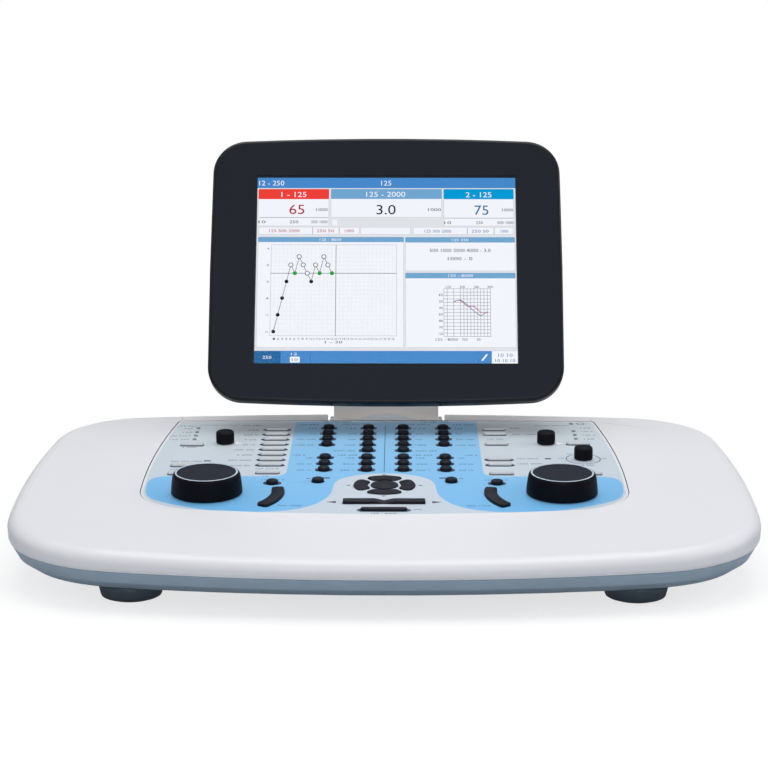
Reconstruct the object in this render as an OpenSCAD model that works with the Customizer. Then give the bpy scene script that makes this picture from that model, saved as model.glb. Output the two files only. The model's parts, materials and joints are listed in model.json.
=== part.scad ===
// Two-channel desktop audiometer: a wide sloped console with dials and keys, and a tilting display.
// Sizes in millimetres. +X is the operator's right, +Y the back, +Z up.
// The origin is on the table, under the middle of the whole object.

/* [Console] */
// Widest size of the console, left to right
console_w = 536; // [526:1:542]
// Depth of the console, front to back
console_d = 371.4; // [368:0.2:374]
// Height of the top face at the front edge
front_h = 38; // [37:0.5:41]
// Slope of the top face, in degrees
deck_slope = 5.9; // [5.6:0.1:6.2]
// Height of the seam between the two shells, at the front edge
seam_front = 26.5; // [25:0.5:27]
// Rise of the seam per millimetre of depth
seam_rise = 0.05; // [0.03:0.01:0.06]
// Height of the lower shell's underside above the table
belly_h = 6.6; // [6.2:0.2:8]
// Wall thickness of the shells
wall = 3; // [2.5:0.1:3.2]

/* [Controls] */
// Radius of a large level dial at its foot
dial_r = 25.8; // [24:0.1:26]
// Height of a large level dial
dial_h = 16; // [14:0.5:20]
// Radius of a small volume knob
knob_r = 7.2; // [6.5:0.1:7.5]
// Height of a small volume knob
knob_h = 9.8; // [8:0.1:12]
// Travel of a key
key_travel = 0.8; // [0.6:0.1:1.2]
// Spacing of the black selector keys in a column
selector_pitch = 15.9; // [15.5:0.1:16]
// Spacing of the pale test keys in a column
test_pitch = 14; // [13.5:0.1:14.2]

/* [Display] */
// Width of the display housing
display_w = 285.8; // [280:0.2:290]
// Height of the display housing, along its face
display_h = 226; // [224:1:230]
// Lean of the display's face behind the upright, in degrees
display_lean = 23.6; // [20:0.1:26]
// Width of the picture on the screen
screen_w = 211.2; // [205:0.1:212]
// Height of the picture on the screen
screen_h = 158.4; // [154:0.1:160]
// Width of the neck that carries the display
neck_w = 85.4; // [80:0.1:86]

/* [Hidden] */
$fn = 48;
eps = 0.01;

// ---- Console outline: five tangent arcs a side, bowed on all four sides ----
front_y = -185;
back_y = front_y + console_d;
side_r = 1050;
front_r = 915;
back_r = 1750;
front_corner_r = 102;
back_corner_r = 70;
side_y = 6;
seam_gap = 0.9;
belly_profile = [[66, 0], [46, 0.03], [29, 0.13], [16.5, 0.31], [7, 0.6], [1.9, 1]];

// ---- Deck frame: its origin is where the deck plane crosses the YZ plane at y = 0 ----
deck_z = front_h - front_y * tan(deck_slope);
panel_top = -0.3;
panel_t = 2;
panel_gap = 0.6;
panel_half_w = 178.6;
panel_bow_y = 18;
panel_side_r = 1050;
panel_front_y = -84.4;
panel_front_r = 950;
panel_front_corner_r = 48;
panel_back_y = 160.5;
panel_back_r = 9000;
panel_back_corner_r = 4;
deck_floor = panel_top - panel_t;
deck_under = deck_floor - 2.4;
key_foot = deck_under - 1.3;
mat_top = key_foot - key_travel - 0.4;
mat_t = 1;
board_t = 1.6;

// ---- Places on the deck, as [x, y] in the deck frame ----
dial_at = [128.4, -34.3];
volume_at = [126, 95];
monitor_at = [151.5, 52.7];
selector_x = [-45.9, -13.9, 13.9, 45.9];
selector_top = 137.8;
selector_low = 54.8;
selector_counts = [[4, 3], [5, 3], [5, 3], [4, 3]];
test_x = 87.2;
test_top = 132.4;
interrupt_at = [82.6, -10.6];
tracking_at = [49.2, -5.7];
nav_at = [0, -15];
rocker_at = [0, -55.4];
store_at = [0, -73.8];
encoder_w = 22;
encoder_depth = 11;
encoder_bush_r = 4.4;
control_w = 16;
control_depth = 9;
control_bush_r = 3.9;
control_shaft_r = 3;
bush_gap = 0.2;
left_option_at = [[-87.7, 14.4], [-151.3, 88.3], [-153, 32.4], [-153, 11.5]];
right_option_at = [[87.1, 13], [150.9, 92.2], [153, 13]];
right_plain_at = [[86.8, 133.3], [86.8, 119.3], [87, 91.1]];
right_lit_at = [[87, 49.4], [87, 35.4]];
left_lit_at = [for (i = [0:7]) [-test_x, test_top - i * test_pitch]];
led_at = concat([for (y = [136.3, 125.3, 114.8, 104.4]) [-151.1, y]],
    [for (y = [151.2, 129.2, 118.2, 107.6]) [150.5, y]]);

// ---- Key sizes ----
cap_r = 4.7;
cap_h = 2.7;
cap_top_r = 4.5;
shoulder_w = 1.3;
shoulder_h = 1.5;
pill_w = 18.6;
pill_d = 5.2;
pill_h = 2.2;
glow_w = 13.4;
glow_d = 6.6;
pill_glow_w = 22.8;
store_glow_w = 38.6;
glow_rise = 0.5;
key_gap = 0.35;
bar_in = 47;
bar_out = 56;
bar_from = -37;
bar_to = 11.5;
bar_corner = 2.6;
bar_h = 1.8;
nav_in = 12.4;
nav_out = 22.6;
nav_spread = 38.5;
nav_corner = 3.4;
nav_h = 0.5;
nav_enter_r = 10;
rocker_w = 58.7;
rocker_d = 8.1;
rocker_h = 1.7;
rocker_dip = 1.5;
store_w = 33.2;
store_d = 5.4;
store_h = 1.7;

// ---- Hinge ----
hinge_at = [173, 67];
barrel_r = 10.5;
shaft_r = 4;
fit = 0.05;
notch_x = 48.3;
notch_y = 159.8;
notch_z = 54;
cover_x = 46;
ear_x = 43.2;
ear_t = 2.4;

// ---- Display frame: its origin is the bottom middle of the face, +Y up the face, +Z to the viewer ----
face_at = [0, 116.6, 94.7];
bezel_t = 10;
back_t = 42;
lip_t = 1.6;
glass_t = 1.8;
back_inset = [1, 5, 12, 20];
back_depth = [bezel_t + 0.1, 20, 33, back_t];
neck_screw_at = [[-30, 42], [30, 42], [-30, 82], [30, 82]];
neck_plate_w = neck_w - 1.6;
neck_plate_h = 78;
neck_plate_t = 6;
neck_plate_y = 58;
display_corner_r = 28;
display_bow_y = 100;
display_side_r = 6000;
display_bottom_r = 2400;
display_top_r = 2600;
glass_margin = 5.5;

// ---- Middle of the whole object, front to back ----
rear_y = face_at[1] + (display_h - back_inset[3]) * sin(display_lean) + back_t * cos(display_lean);
mid_y = (front_y + rear_y) / 2;

// ---- Connectors in the back wall ----
socket_y = 168;
socket_w = 250;
socket_z = [15, 39];
jack_x = [for (i = [0:7]) -108 + i * 18];
jack_z = 28;
jack_bore_r = 3.2;
inlet_x = 98;
usb_x = [46, 68];
speaker_at = [-120, 70];
speaker_r = 24;

// ---- Boards ----
main_board_at = [0, 30, 16];
main_board_size = [330, 180];
keypad_size = [336, 228];
keypad_y = 30;

// ---- Screws and feet ----
case_screw_at = [[-218, -50], [218, -50], [-214, 105], [214, 105], [-100, -132], [100, -132]];
foot_at = [[-171.8, -125], [171.8, -125], [-171.8, 122], [171.8, 122]];
foot_r = 22.2;
split_z = 20;

// ---- Curves ----
function meet(c1, r1, c2, r2, side) =
    let (d = norm(c2 - c1), u = (c2 - c1) / d, a = (r1 * r1 - r2 * r2 + d * d) / (2 * d))
    c1 + a * u + side * sqrt(r1 * r1 - a * a) * [-u[1], u[0]];
function angle_of(v) = atan2(v[1], v[0]);
function arc(c, r, a1, a2, n) = [for (i = [0:n - 1])
    let (a = a1 + (a2 - a1) * i / n) c + r * [cos(a), sin(a)]];

// Right half of a bowed rectangle from [0, y1] round to [0, y2], drawn in by d.
function half_outline(hw, ys, rs, y1, r1, q1, y2, r2, q2, d) =
    let (c1 = [0, y1 + r1], cs = [hw - rs, ys], c2 = [0, y2 - r2])
    let (k1 = meet(c1, r1 - q1, cs, rs - q1, 1), k2 = meet(c2, r2 - q2, cs, rs - q2, -1))
    let (a1 = angle_of(k1 - c1), b1 = angle_of(k1 - cs), b2 = angle_of(k2 - cs), a2 = angle_of(k2 - c2))
    concat(arc(c1, r1 - d, -90, a1, 8), arc(k1, q1 - d, a1, b1, 14), arc(cs, rs - d, b1, b2, 8),
        arc(k2, q2 - d, b2, a2, 12), arc(c2, r2 - d, a2, 90, 8), [[0, y2 - d]]);
function both_halves(h) = concat(h, [for (i = [len(h) - 2:-1:1]) [-h[i][0], h[i][1]]]);

function console_outline(d) = both_halves(half_outline(console_w / 2, side_y, side_r,
    front_y, front_r, front_corner_r, back_y, back_r, back_corner_r, d));
function panel_outline(d) = both_halves(half_outline(panel_half_w, panel_bow_y, panel_side_r,
    panel_front_y, panel_front_r, panel_front_corner_r, panel_back_y, panel_back_r, panel_back_corner_r, d));
function display_outline(d) = both_halves(half_outline(display_w / 2, display_bow_y, display_side_r,
    0, display_bottom_r, display_corner_r, display_h, display_top_r, display_corner_r, d));

function top_z(y) = front_h + (y - front_y) * tan(deck_slope);
function seam_z(y) = seam_front + (y - front_y) * seam_rise;

// One ring of the top shell, a drop below the top face, and one a lift above the seam.
function below_top(d, drop) = [for (p = console_outline(d)) [p[0], p[1], top_z(p[1]) - drop]];
function above_seam(d, lift) = [for (p = console_outline(d)) [p[0], p[1], seam_z(p[1]) + lift]];
function level(points, z) = [for (p = points) [p[0], p[1], z]];
// One ring of the lower shell, at a fraction of the way from the belly to the seam.
function up_belly(d, f, base, gap) = [for (p = console_outline(d))
    [p[0], p[1], base + f * (seam_z(p[1]) - gap - base)]];

function belly_rings() = [for (q = belly_profile) up_belly(q[0], q[1], belly_h, seam_gap)];

// A solid skinned over rings of equal count, with flat ends.
module loft(rings) {
    n = len(rings[0]);
    m = len(rings);
    points = [for (r = rings) each r];
    sides = [for (j = [0:m - 2]) for (i = [0:n - 1])
        let (a = j * n + i, b = j * n + (i + 1) % n)
        each [[a, a + n, b + n], [a, b + n, b]]];
    start = [[for (i = [0:n - 1]) i]];
    finish = [[for (i = [n - 1:-1:0]) (m - 1) * n + i]];
    polyhedron(points = points, faces = concat(start, sides, finish), convexity = 8);
}

// Places are given from the middle of the console's base; this puts the origin under the whole object.
module placed() {
    translate([0, -mid_y, 0]) children();
}

module on_deck() {
    translate([0, 0, deck_z]) rotate([deck_slope, 0, 0]) children();
}

module on_face() {
    translate(face_at) rotate([90 - display_lean, 0, 0]) children();
}

// Extrudes a [y, z] profile along X, centred, w wide.
module across(w) {
    rotate([90, 0, 90]) translate([0, 0, -w / 2]) linear_extrude(w) children();
}

module slab(size, z1, z2) {
    translate([-size[0] / 2, -size[1] / 2, z1]) cube([size[0], size[1], z2 - z1]);
}

module stadium(w, d) {
    square([w - d, d], center = true);
    for (s = [-1, 1]) translate([s * (w - d) / 2, 0]) circle(d / 2);
}

module each_at(places) {
    for (p = places) translate(p) children();
}

function column(i) = concat(
    [for (k = [0:selector_counts[i][0] - 1]) [selector_x[i], selector_top - k * selector_pitch]],
    [for (k = [0:selector_counts[i][1] - 1]) [selector_x[i], selector_low - k * selector_pitch]]);

// ---- Key outlines, grown by g ----
// A piece of a ring between two radii and two angles, with rounded corners.
function ring_piece(r1, r2, a1, a2, corner, g) =
    let (turn1 = asin(corner / (r1 + corner)), turn2 = asin(corner / (r2 - corner)), c = corner + g)
    let (in_r = r1 + corner, out_r = r2 - corner)
    concat(arc([0, 0], r2 + g, a1 + turn2, a2 - turn2, 12),
        arc(out_r * [cos(a2 - turn2), sin(a2 - turn2)], c, a2 - turn2, a2 + 90, 6),
        arc(in_r * [cos(a2 - turn1), sin(a2 - turn1)], c, a2 + 90, a2 - turn1 + 180, 6),
        arc([0, 0], r1 - g, a2 - turn1, a1 + turn1, 12),
        arc(in_r * [cos(a1 + turn1), sin(a1 + turn1)], c, a1 + turn1 + 180, a1 + 270, 6),
        arc(out_r * [cos(a1 + turn2), sin(a1 + turn2)], c, a1 - 90, a1 + turn2, 6));

module present_outline(side, g) {
    translate([side * dial_at[0], dial_at[1]]) scale([-side, 1])
        polygon(ring_piece(bar_in, bar_out, bar_from, bar_to, bar_corner, g));
}

module nav_outline(turn, g) {
    translate(nav_at) rotate(turn)
        polygon(ring_piece(nav_in, nav_out, 90 - nav_spread, 90 + nav_spread, nav_corner, g));
}

module rocker_outline(g) {
    translate(rocker_at) square([rocker_w + 2 * g, rocker_d + 2 * g], center = true);
}

module store_outline(g) {
    translate(store_at) stadium(store_w + 2 * g, store_d + 2 * g);
}

// ---- Console ----
module top_shell() color("#e6e7eb") placed() {
    edge_in = 9;
    edge_drop = 8;
    roll = [for (i = [0:6]) let (t = 15 * i)
        below_top(edge_in * (1 - cos(t)), edge_drop * (1 - sin(t)))];
    inside = [below_top(edge_in + 1, wall + 0.2), below_top(wall + 0.5, edge_drop),
        above_seam(wall + 0.5, 0)];
    difference() {
        union() {
            loft(concat(inside, [above_seam(1.2, 0), above_seam(0.3, 2)], roll));
            // Well that the hinge sits in, and the deck under the control panel
            translate([-notch_x - 3, notch_y - 4, notch_z - 3]) cube([2 * notch_x + 6, 23, 18]);
            on_deck() translate([0, 0, deck_under]) linear_extrude(deck_floor - deck_under + 0.5)
                polygon(panel_outline(-2.5));
            for (p = case_screw_at) translate([p[0], p[1], split_z])
                cylinder(r = 4.5, h = top_z(p[1]) - split_z - 1.5);
        }
        on_deck() translate([0, 0, deck_floor]) linear_extrude(8) polygon(panel_outline(0));
        translate([-notch_x, notch_y, notch_z]) cube([2 * notch_x, 40, 40]);
        on_deck() deck_windows();
        for (p = case_screw_at) translate([p[0], p[1], split_z - 1]) cylinder(r = 2, h = 11);
    }
}

// Windows in the deck for the rows of keys and the bushings of the knobs
module deck_windows() {
    h = 6;
    z = deck_under - 1;
    for (i = [0:3]) translate([selector_x[i], 76, z + h / 2]) cube([11, 134, h], center = true);
    for (s = [-1, 1]) {
        translate([s * test_x, 73, z + h / 2]) cube([25, 131, h], center = true);
        translate([s * 151.2, 90, z + h / 2]) cube([24, 14, h], center = true);
        translate([s * 153, 21.5, z + h / 2]) cube([24, 34, h], center = true);
        translate([s * dial_at[0], dial_at[1], z]) cylinder(r = encoder_bush_r + bush_gap, h = h);
        translate([s * volume_at[0], volume_at[1], z]) cylinder(r = control_bush_r + bush_gap, h = h);
        translate([s * interrupt_at[0], interrupt_at[1], z]) cylinder(r = 5.2, h = h);
        translate([s * tracking_at[0], tracking_at[1], z]) cylinder(r = 5.2, h = h);
        translate([0, 0, z]) linear_extrude(h) present_outline(s, 1);
    }
    translate([monitor_at[0], monitor_at[1], z]) cylinder(r = control_bush_r + bush_gap, h = h);
    translate([nav_at[0], nav_at[1], z]) cylinder(r = nav_out + 1, h = h);
    translate([0, rocker_at[1], z + h / 2]) cube([rocker_w + 2, rocker_d + 2, h], center = true);
    translate([0, store_at[1], z + h / 2]) cube([store_w + 2, store_d + 1, h], center = true);
}

module bottom_shell() color("#9fb2be") placed() {
    tongue = [above_seam(3.75, -seam_gap), above_seam(3.75, 2), above_seam(5.2, 2)];
    inside = [up_belly(16, 0.42, belly_h + wall, seam_gap), up_belly(34, 0.14, belly_h + wall, seam_gap),
        level(console_outline(66), belly_h + wall)];
    difference() {
        union() {
            loft(concat(belly_rings(), tongue, inside));
            for (p = case_screw_at) translate([p[0], p[1], belly_h + wall - 0.5])
                cylinder(r = 6, h = split_z - belly_h - wall + 0.3);
        }
        for (p = case_screw_at) translate([p[0], p[1], 0]) {
            cylinder(r = 2.2, h = 40);
            cylinder(r = 4.6, h = belly_h + 5);
        }
        translate([-socket_w / 2, socket_y - 12, socket_z[0]])
            cube([socket_w, 40, socket_z[1] - socket_z[0]]);
        // Grille under the monitor loudspeaker
        for (i = [-3:3]) translate([speaker_at[0] + 6 * i, speaker_at[1], belly_h + 1])
            cube([2.4, 30, 8], center = true);
    }
}

module control_panel() color("#c6d4de") placed() {
    on_deck() translate([0, 0, deck_floor]) linear_extrude(panel_t) difference() {
        polygon(panel_outline(panel_gap));
        for (i = [0:3]) each_at(column(i)) circle(cap_r + key_gap);
        each_at(concat(left_lit_at, left_option_at, right_plain_at, right_lit_at, right_option_at))
            stadium(pill_w + 2 * key_gap, pill_d + 2 * key_gap);
        for (s = [-1, 1]) {
            translate([s * dial_at[0], dial_at[1]]) circle(encoder_bush_r + bush_gap);
            translate([s * volume_at[0], volume_at[1]]) circle(control_bush_r + bush_gap);
            translate([s * interrupt_at[0], interrupt_at[1]]) circle(cap_r + key_gap);
            translate([s * tracking_at[0], tracking_at[1]]) circle(cap_r + key_gap);
            present_outline(s, key_gap);
        }
        translate(monitor_at) circle(control_bush_r + bush_gap);
        for (a = [0, 90, 180, 270]) nav_outline(a, key_gap);
        translate(nav_at) circle(nav_enter_r + key_gap);
        rocker_outline(key_gap);
        store_outline(key_gap);
    }
}

// White cover in front of the hinge, with a low arch in its middle
module hinge_cover() color("#e6e7eb") placed() {
    arch_w = 50;
    arch_h = 5;
    arch_t = 2.6;
    arch_r = (arch_w * arch_w / 4 + arch_h * arch_h) / (2 * arch_h);
    front = notch_y + 0.4;
    back = 164.5;
    top = 74.4;
    difference() {
        across(2 * cover_x) polygon([[front, notch_z + 0.2], [front, top - 0.8], [front + 1.2, top],
            [back, top + 0.3], [back, notch_z + 0.2]]);
        translate([-60, hinge_at[0], hinge_at[1]]) rotate([0, 90, 0]) cylinder(r = barrel_r + 0.7, h = 120);
    }
    intersection() {
        translate([0, front + arch_t, top - 0.2 + arch_h - arch_r]) rotate([90, 0, 0])
            cylinder(r = arch_r, h = arch_t);
        translate([0, front, top + 2.6]) cube([arch_w + 4, 10, 8], center = true);
    }
}

module feet() color("#6d808e") placed() {
    difference() {
        for (p = foot_at) translate([p[0], p[1], 0]) difference() {
            rotate_extrude() polygon([[0, 1.2], [18.8, 1.2], [20.2, 2], [20.9, 3.4], [foot_r, 9],
                [foot_r + 0.2, 14], [0, 14]]);
            translate([0, 0, 0.2]) cylinder(r = 16.1, h = 2);
        }
        loft(belly_rings());
    }
}

module foot_pads() color("#2b2e33") placed() {
    for (p = foot_at) translate([p[0], p[1], 0]) rotate_extrude()
        polygon([[0, 0], [15.2, 0], [16, 0.6], [16, 2.2], [0, 2.2]]);
}

// Cross-head screw standing head down at the origin
module screw(head_r, shank_r, length) {
    head_t = 2.6;
    difference() {
        union() {
            cylinder(r = head_r, h = head_t);
            translate([0, 0, head_t - 0.1]) cylinder(r = shank_r, h = length + 0.1);
        }
        for (a = [0, 90]) rotate(a) translate([0, 0, 0.7]) cube([head_r * 1.1, 0.9, 1.5], center = true);
    }
}

module case_screws() color("#8b8f94") placed() {
    for (p = case_screw_at) translate([p[0], p[1], belly_h + 2.3]) screw(4, 1.9, 14);
}

module main_board() color("#1f6b45") placed() {
    translate(main_board_at) {
        difference() {
            slab(main_board_size, 0, board_t);
            translate([speaker_at[0], speaker_at[1] - main_board_at[1], -1])
                cylinder(r = speaker_r + 2, h = 4);
        }
        for (x = [-120:48:120]) translate([x, -5, board_t - eps]) slab([18, 18], 0, 2.6);
        for (x = [-54:36:90]) translate([x, 62, board_t - eps]) cylinder(r = 5, h = 12);
        translate([0, -40, board_t - eps]) slab([34, 34], 0, 3);
        translate([130, 50, board_t - eps]) slab([40, 44], 0, 16);
    }
}

module keypad_board() color("#1f6b45") placed() {
    on_deck() translate([0, 0, mat_top - mat_t - board_t - 0.1]) linear_extrude(board_t)
        keypad_outline();
}

module keypad_mat() color("#d9d9d2") placed() {
    on_deck() translate([0, 0, mat_top - mat_t]) linear_extrude(mat_t) keypad_outline();
}

module keypad_outline() {
    difference() {
        translate([0, keypad_y]) square(keypad_size, center = true);
        for (s = [-1, 1]) {
            translate([s * dial_at[0], dial_at[1]]) square(encoder_w + 4, center = true);
            translate([s * volume_at[0], volume_at[1]]) square(control_w + 3, center = true);
            translate([s * 168, -84]) square(66, center = true);
        }
        translate(monitor_at) square(control_w + 3, center = true);
    }
}

// A bar with pointed ends
module pointed(w, d) {
    tip = 0.55 * d;
    polygon([[-w / 2, 0], [tip - w / 2, -d / 2], [w / 2 - tip, -d / 2], [w / 2, 0], [w / 2 - tip, d / 2],
        [tip - w / 2, d / 2]]);
}

// Clear ends beside each lit key
module light_pipes() color("#d7d4f0") placed() {
    on_deck() translate([0, 0, panel_top]) linear_extrude(glow_rise) {
        for (i = [0:3]) each_at(column(i)) glow_ends();
        for (s = [-1, 1]) translate([s * interrupt_at[0], interrupt_at[1]]) glow_ends();
        each_at(concat(left_lit_at, right_lit_at)) difference() {
            pointed(pill_glow_w, pill_d - 0.2);
            stadium(pill_w + 2 * key_gap, pill_d + 2 * key_gap);
        }
        translate(store_at) difference() {
            pointed(store_glow_w, store_d + 0.6);
            stadium(store_w + 2 * key_gap, store_d + 2 * key_gap);
        }
    }
}

module glow_ends() {
    difference() {
        stadium(glow_w, glow_d);
        circle(cap_r + key_gap);
    }
}

module indicator_leds() color("#8fa08f") placed() {
    on_deck() for (p = led_at) translate([p[0], p[1], panel_top]) cylinder(r = 1.6, h = 0.9);
}

// Body of a rotary control under the deck, with its bushing through the deck
module rotary_body(w, bush_r, depth) {
    difference() {
        union() {
            slab([w, w], deck_under - depth, deck_under - 0.1);
            translate([0, 0, deck_under - 1]) cylinder(r = bush_r, h = panel_top + 2.2 - deck_under);
        }
        translate([0, 0, deck_under - depth + 1.5]) cylinder(r = control_shaft_r + fit, h = depth + 12);
    }
}

module dial_encoders() color("#3a5fa8") placed() {
    on_deck() for (s = [-1, 1]) translate([s * dial_at[0], dial_at[1], 0])
        rotary_body(encoder_w, encoder_bush_r, encoder_depth);
}

module volume_controls() color("#3a5fa8") placed() {
    on_deck() {
        each_at([[-volume_at[0], volume_at[1]], volume_at, monitor_at])
            rotary_body(control_w, control_bush_r, control_depth);
    }
}

module hinge_brackets() color("#9a9ea3") placed() {
    for (s = [-1, 1]) difference() {
        union() {
            translate([s * (ear_x + ear_t / 2), 0, 0]) across(ear_t) {
                translate(hinge_at) circle(7.6);
                translate([hinge_at[0] - 7.6, notch_z + 0.1]) square([15.2, hinge_at[1] - notch_z - 0.1]);
            }
            translate([s * 37.5 - 8, hinge_at[0] - 7.6, notch_z + 0.1]) cube([16, 15.2, 1.6]);
        }
        translate([-60, hinge_at[0], hinge_at[1]]) rotate([0, 90, 0]) cylinder(r = shaft_r + fit, h = 120);
    }
}

module connector_plate() color("#5b6066") placed() {
    difference() {
        translate([-socket_w / 2 + 0.4, socket_y - 2, socket_z[0] + 0.4])
            cube([socket_w - 0.8, 2, socket_z[1] - socket_z[0] - 0.8]);
        for (x = jack_x) translate([x, socket_y + 1, jack_z]) rotate([90, 0, 0]) cylinder(r = 5.1, h = 6);
        translate([inlet_x - 5.1, socket_y - 5, jack_z - 5.1]) cube([10.2, 9, 10.2]);
        for (x = usb_x) translate([x - 7, socket_y - 5, jack_z - 3.6]) cube([14, 9, 7.2]);
    }
}

module audio_jacks() color("#17181b") placed() {
    for (x = jack_x) translate([x, socket_y, jack_z]) rotate([-90, 0, 0]) difference() {
        union() {
            translate([0, 0, -14]) cylinder(r = 5, h = 17);
            translate([0, 0, 0.1]) cylinder(r = 6.6, h = 1.8);
            translate([-6, -6, -26]) cube([12, 12, 12.1]);
        }
        translate([0, 0, -0.4]) cylinder(r = jack_bore_r, h = 8);
    }
}

module power_inlet() color("#17181b") placed() {
    translate([inlet_x, socket_y, jack_z]) difference() {
        translate([-5, -14, -5]) cube([10, 15.6, 10]);
        translate([0, -2, 0]) rotate([-90, 0, 0]) cylinder(r = 3.1, h = 8);
    }
    translate([inlet_x, socket_y - 2.4, jack_z]) rotate([-90, 0, 0]) cylinder(r = 1, h = 3.4);
}

module usb_ports() color("#b9bdc2") placed() {
    for (x = usb_x) translate([x, socket_y, jack_z]) {
        difference() {
            translate([-6.8, -14, -3.4]) cube([13.6, 15, 6.8]);
            translate([-6.2, -2.6, -2.8]) cube([12.4, 8, 5.6]);
        }
        translate([-5.6, -3, 0.2]) cube([11.2, 3.2, 1.8]);
    }
}

module monitor_speaker() color("#3a3d42") placed() {
    translate([speaker_at[0], speaker_at[1], belly_h + wall + 0.1]) rotate_extrude()
        polygon([[0, 0], [speaker_r, 0], [speaker_r, 2.4], [13, 7.5], [13, 13], [0, 13]]);
}

// ---- Display ----
// Size of a rectangle that stands a margin outside the picture.
function around_screen(margin) = [screen_w + 2 * margin, screen_h + 2 * margin];

module display_bezel() color("#2b2e36") placed() {
    on_face() difference() {
        translate([0, 0, -bezel_t]) linear_extrude(bezel_t) polygon(display_outline(0));
        translate([0, display_h / 2, 0]) {
            slab(around_screen(0.6), -bezel_t - 1, 1);
            slab(around_screen(glass_margin + 0.5), -bezel_t - 1, -lip_t);
        }
        translate([0, 0, -bezel_t - 1]) linear_extrude(1 + bezel_t - 3.2) polygon(display_outline(4));
    }
}

module display_back() color("#24262c") placed() {
    out_rings = [for (i = [3:-1:0]) level(display_outline(back_inset[i]), -back_depth[i])];
    in_rings = [for (i = [0:3])
        level(display_outline(back_inset[i] + 2.6), -back_depth[i] + (i == 3 ? 2.6 : 0))];
    on_face() difference() {
        loft(concat(out_rings, in_rings));
        // Vents high on the back
        for (i = [-9:9]) translate([8 * i, 176, -back_t]) cube([3, 26, 12], center = true);
        for (p = neck_screw_at) translate([p[0], p[1], -back_t - 1]) cylinder(r = 2.2, h = 6);
    }
}

module screen_glass() color("#b9d7f2") placed() {
    on_face() translate([0, display_h / 2, 0])
        slab(around_screen(glass_margin), -lip_t - 0.1 - glass_t, -lip_t - 0.1);
}

module lcd_module() color("#9aa0a8") placed() {
    on_face() translate([0, display_h / 2, 0]) {
        slab(around_screen(glass_margin), -12, -lip_t - glass_t - 0.2);
        slab(around_screen(-15), -14, -12 + eps);
    }
}

module display_board() color("#1f6b45") placed() {
    on_face() translate([0, display_h / 2 - 10, 0]) {
        slab([150, 90], -24, -22.4);
        for (x = [-50, 0, 50]) translate([x, 0, 0]) slab([22, 22], -27, -24 + eps);
    }
}

module display_screws() color("#8b8f94") placed() {
    on_face() for (p = neck_screw_at) translate([p[0], p[1], -back_t - 8.6]) screw(3.8, 1.9, 10);
}

// Neck: a barrel round the hinge shaft, a limb, and a plate against the back of the display
module neck() color("#9c9691") placed() {
    difference() {
        union() {
            across(neck_w) {
                translate(hinge_at) circle(barrel_r);
                polygon([[165.6, 70], [166.2, 92], [163.5, 104], [172, 124], [187, 124], [184, 96],
                    [182.4, 70]]);
            }
            on_face() translate([0, neck_plate_y, 0])
                slab([neck_plate_w, neck_plate_h], -back_t - 0.1 - neck_plate_t, -back_t - 0.1);
        }
        translate([-60, hinge_at[0], hinge_at[1]]) rotate([0, 90, 0]) cylinder(r = shaft_r + fit, h = 120);
        // The display's back, and clearance for the screws
        on_face() translate([0, neck_plate_y, 0]) slab([neck_w + 20, 2 * neck_plate_h], -back_t - 0.1, 0);
        on_face() for (p = neck_screw_at) translate([p[0], p[1], -back_t - 9]) {
            cylinder(r = 2.1, h = 12);
            translate([0, 0, -30]) cylinder(r = 4, h = 33.1);
        }
    }
}

module hinge_shaft() color("#b9bdc2") placed() {
    translate([-46.6, hinge_at[0], hinge_at[1]]) rotate([0, 90, 0]) cylinder(r = shaft_r, h = 93.2);
}

// ---- Knobs ----
module level_dial(side) color("#23262d") placed() {
    top_r = 22.7;
    foot = panel_top + 0.5;
    on_deck() translate([side * dial_at[0], dial_at[1], 0]) difference() {
        rotate_extrude($fn = 96) polygon([[0, foot], [dial_r - 0.5, foot], [dial_r, foot + 0.8],
            [dial_r - 0.5, foot + 7], [dial_r - 1.3, foot + 12], [top_r + 1, dial_h - 1.2],
            [top_r, dial_h - 0.3], [top_r - 1, dial_h - 0.2], [top_r - 1.4, dial_h - 0.7],
            [0, dial_h - 0.7]]);
        translate([0, 0, foot - 1]) cylinder(r = 20, h = 9);
        translate([0, 0, foot]) cylinder(r = control_shaft_r + fit, h = dial_h - 4);
    }
}

module small_knob(at) color("#1b1e25") placed() {
    foot = panel_top + 0.4;
    on_deck() translate([at[0], at[1], 0]) difference() {
        rotate_extrude() polygon([[0, foot], [knob_r - 0.3, foot], [knob_r, foot + 0.4],
            [knob_r - 0.1, knob_h - 1.6], [knob_r - 0.7, knob_h - 0.4], [knob_r - 1.8, knob_h],
            [0, knob_h]]);
        translate([0, 0, foot - 1]) cylinder(r = 4.6, h = 3.4);
        translate([0, 0, foot]) cylinder(r = control_shaft_r + fit, h = knob_h - 2.5);
    }
}

module control_shaft(at, depth, top) color("#b9bdc2") placed() {
    on_deck() translate([at[0], at[1], deck_under - depth + 1.6])
        cylinder(r = control_shaft_r, h = top - deck_under + depth - 1.6);
}

// ---- Keys ----
// The side leans in a little up to the shoulder, and a shallow crown closes the top.
module round_key() {
    crown_z = cap_h - shoulder_h - 0.1;
    rotate_extrude() polygon([[0, key_foot], [cap_r, key_foot], [cap_r, 0.1],
        for (t = [0:15:75]) [cap_top_r - shoulder_w + shoulder_w * cos(t), crown_z + shoulder_h * sin(t)],
        [0, cap_h]]);
}

module pill_key() {
    translate([0, 0, key_foot]) linear_extrude(pill_h - key_foot) stadium(pill_w, pill_d);
}

module selector_keys(i) color("#24272e") placed() {
    on_deck() each_at(column(i)) round_key();
}

module pale_keys(places) color("#d5d9de") placed() {
    on_deck() each_at(places) pill_key();
}

module single_key(at) color("#24272e") placed() {
    on_deck() translate([at[0], at[1], 0]) round_key();
}

module present_bar(side) color("#24272e") placed() {
    on_deck() translate([0, 0, key_foot]) linear_extrude(bar_h - key_foot) present_outline(side, 0);
}

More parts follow.
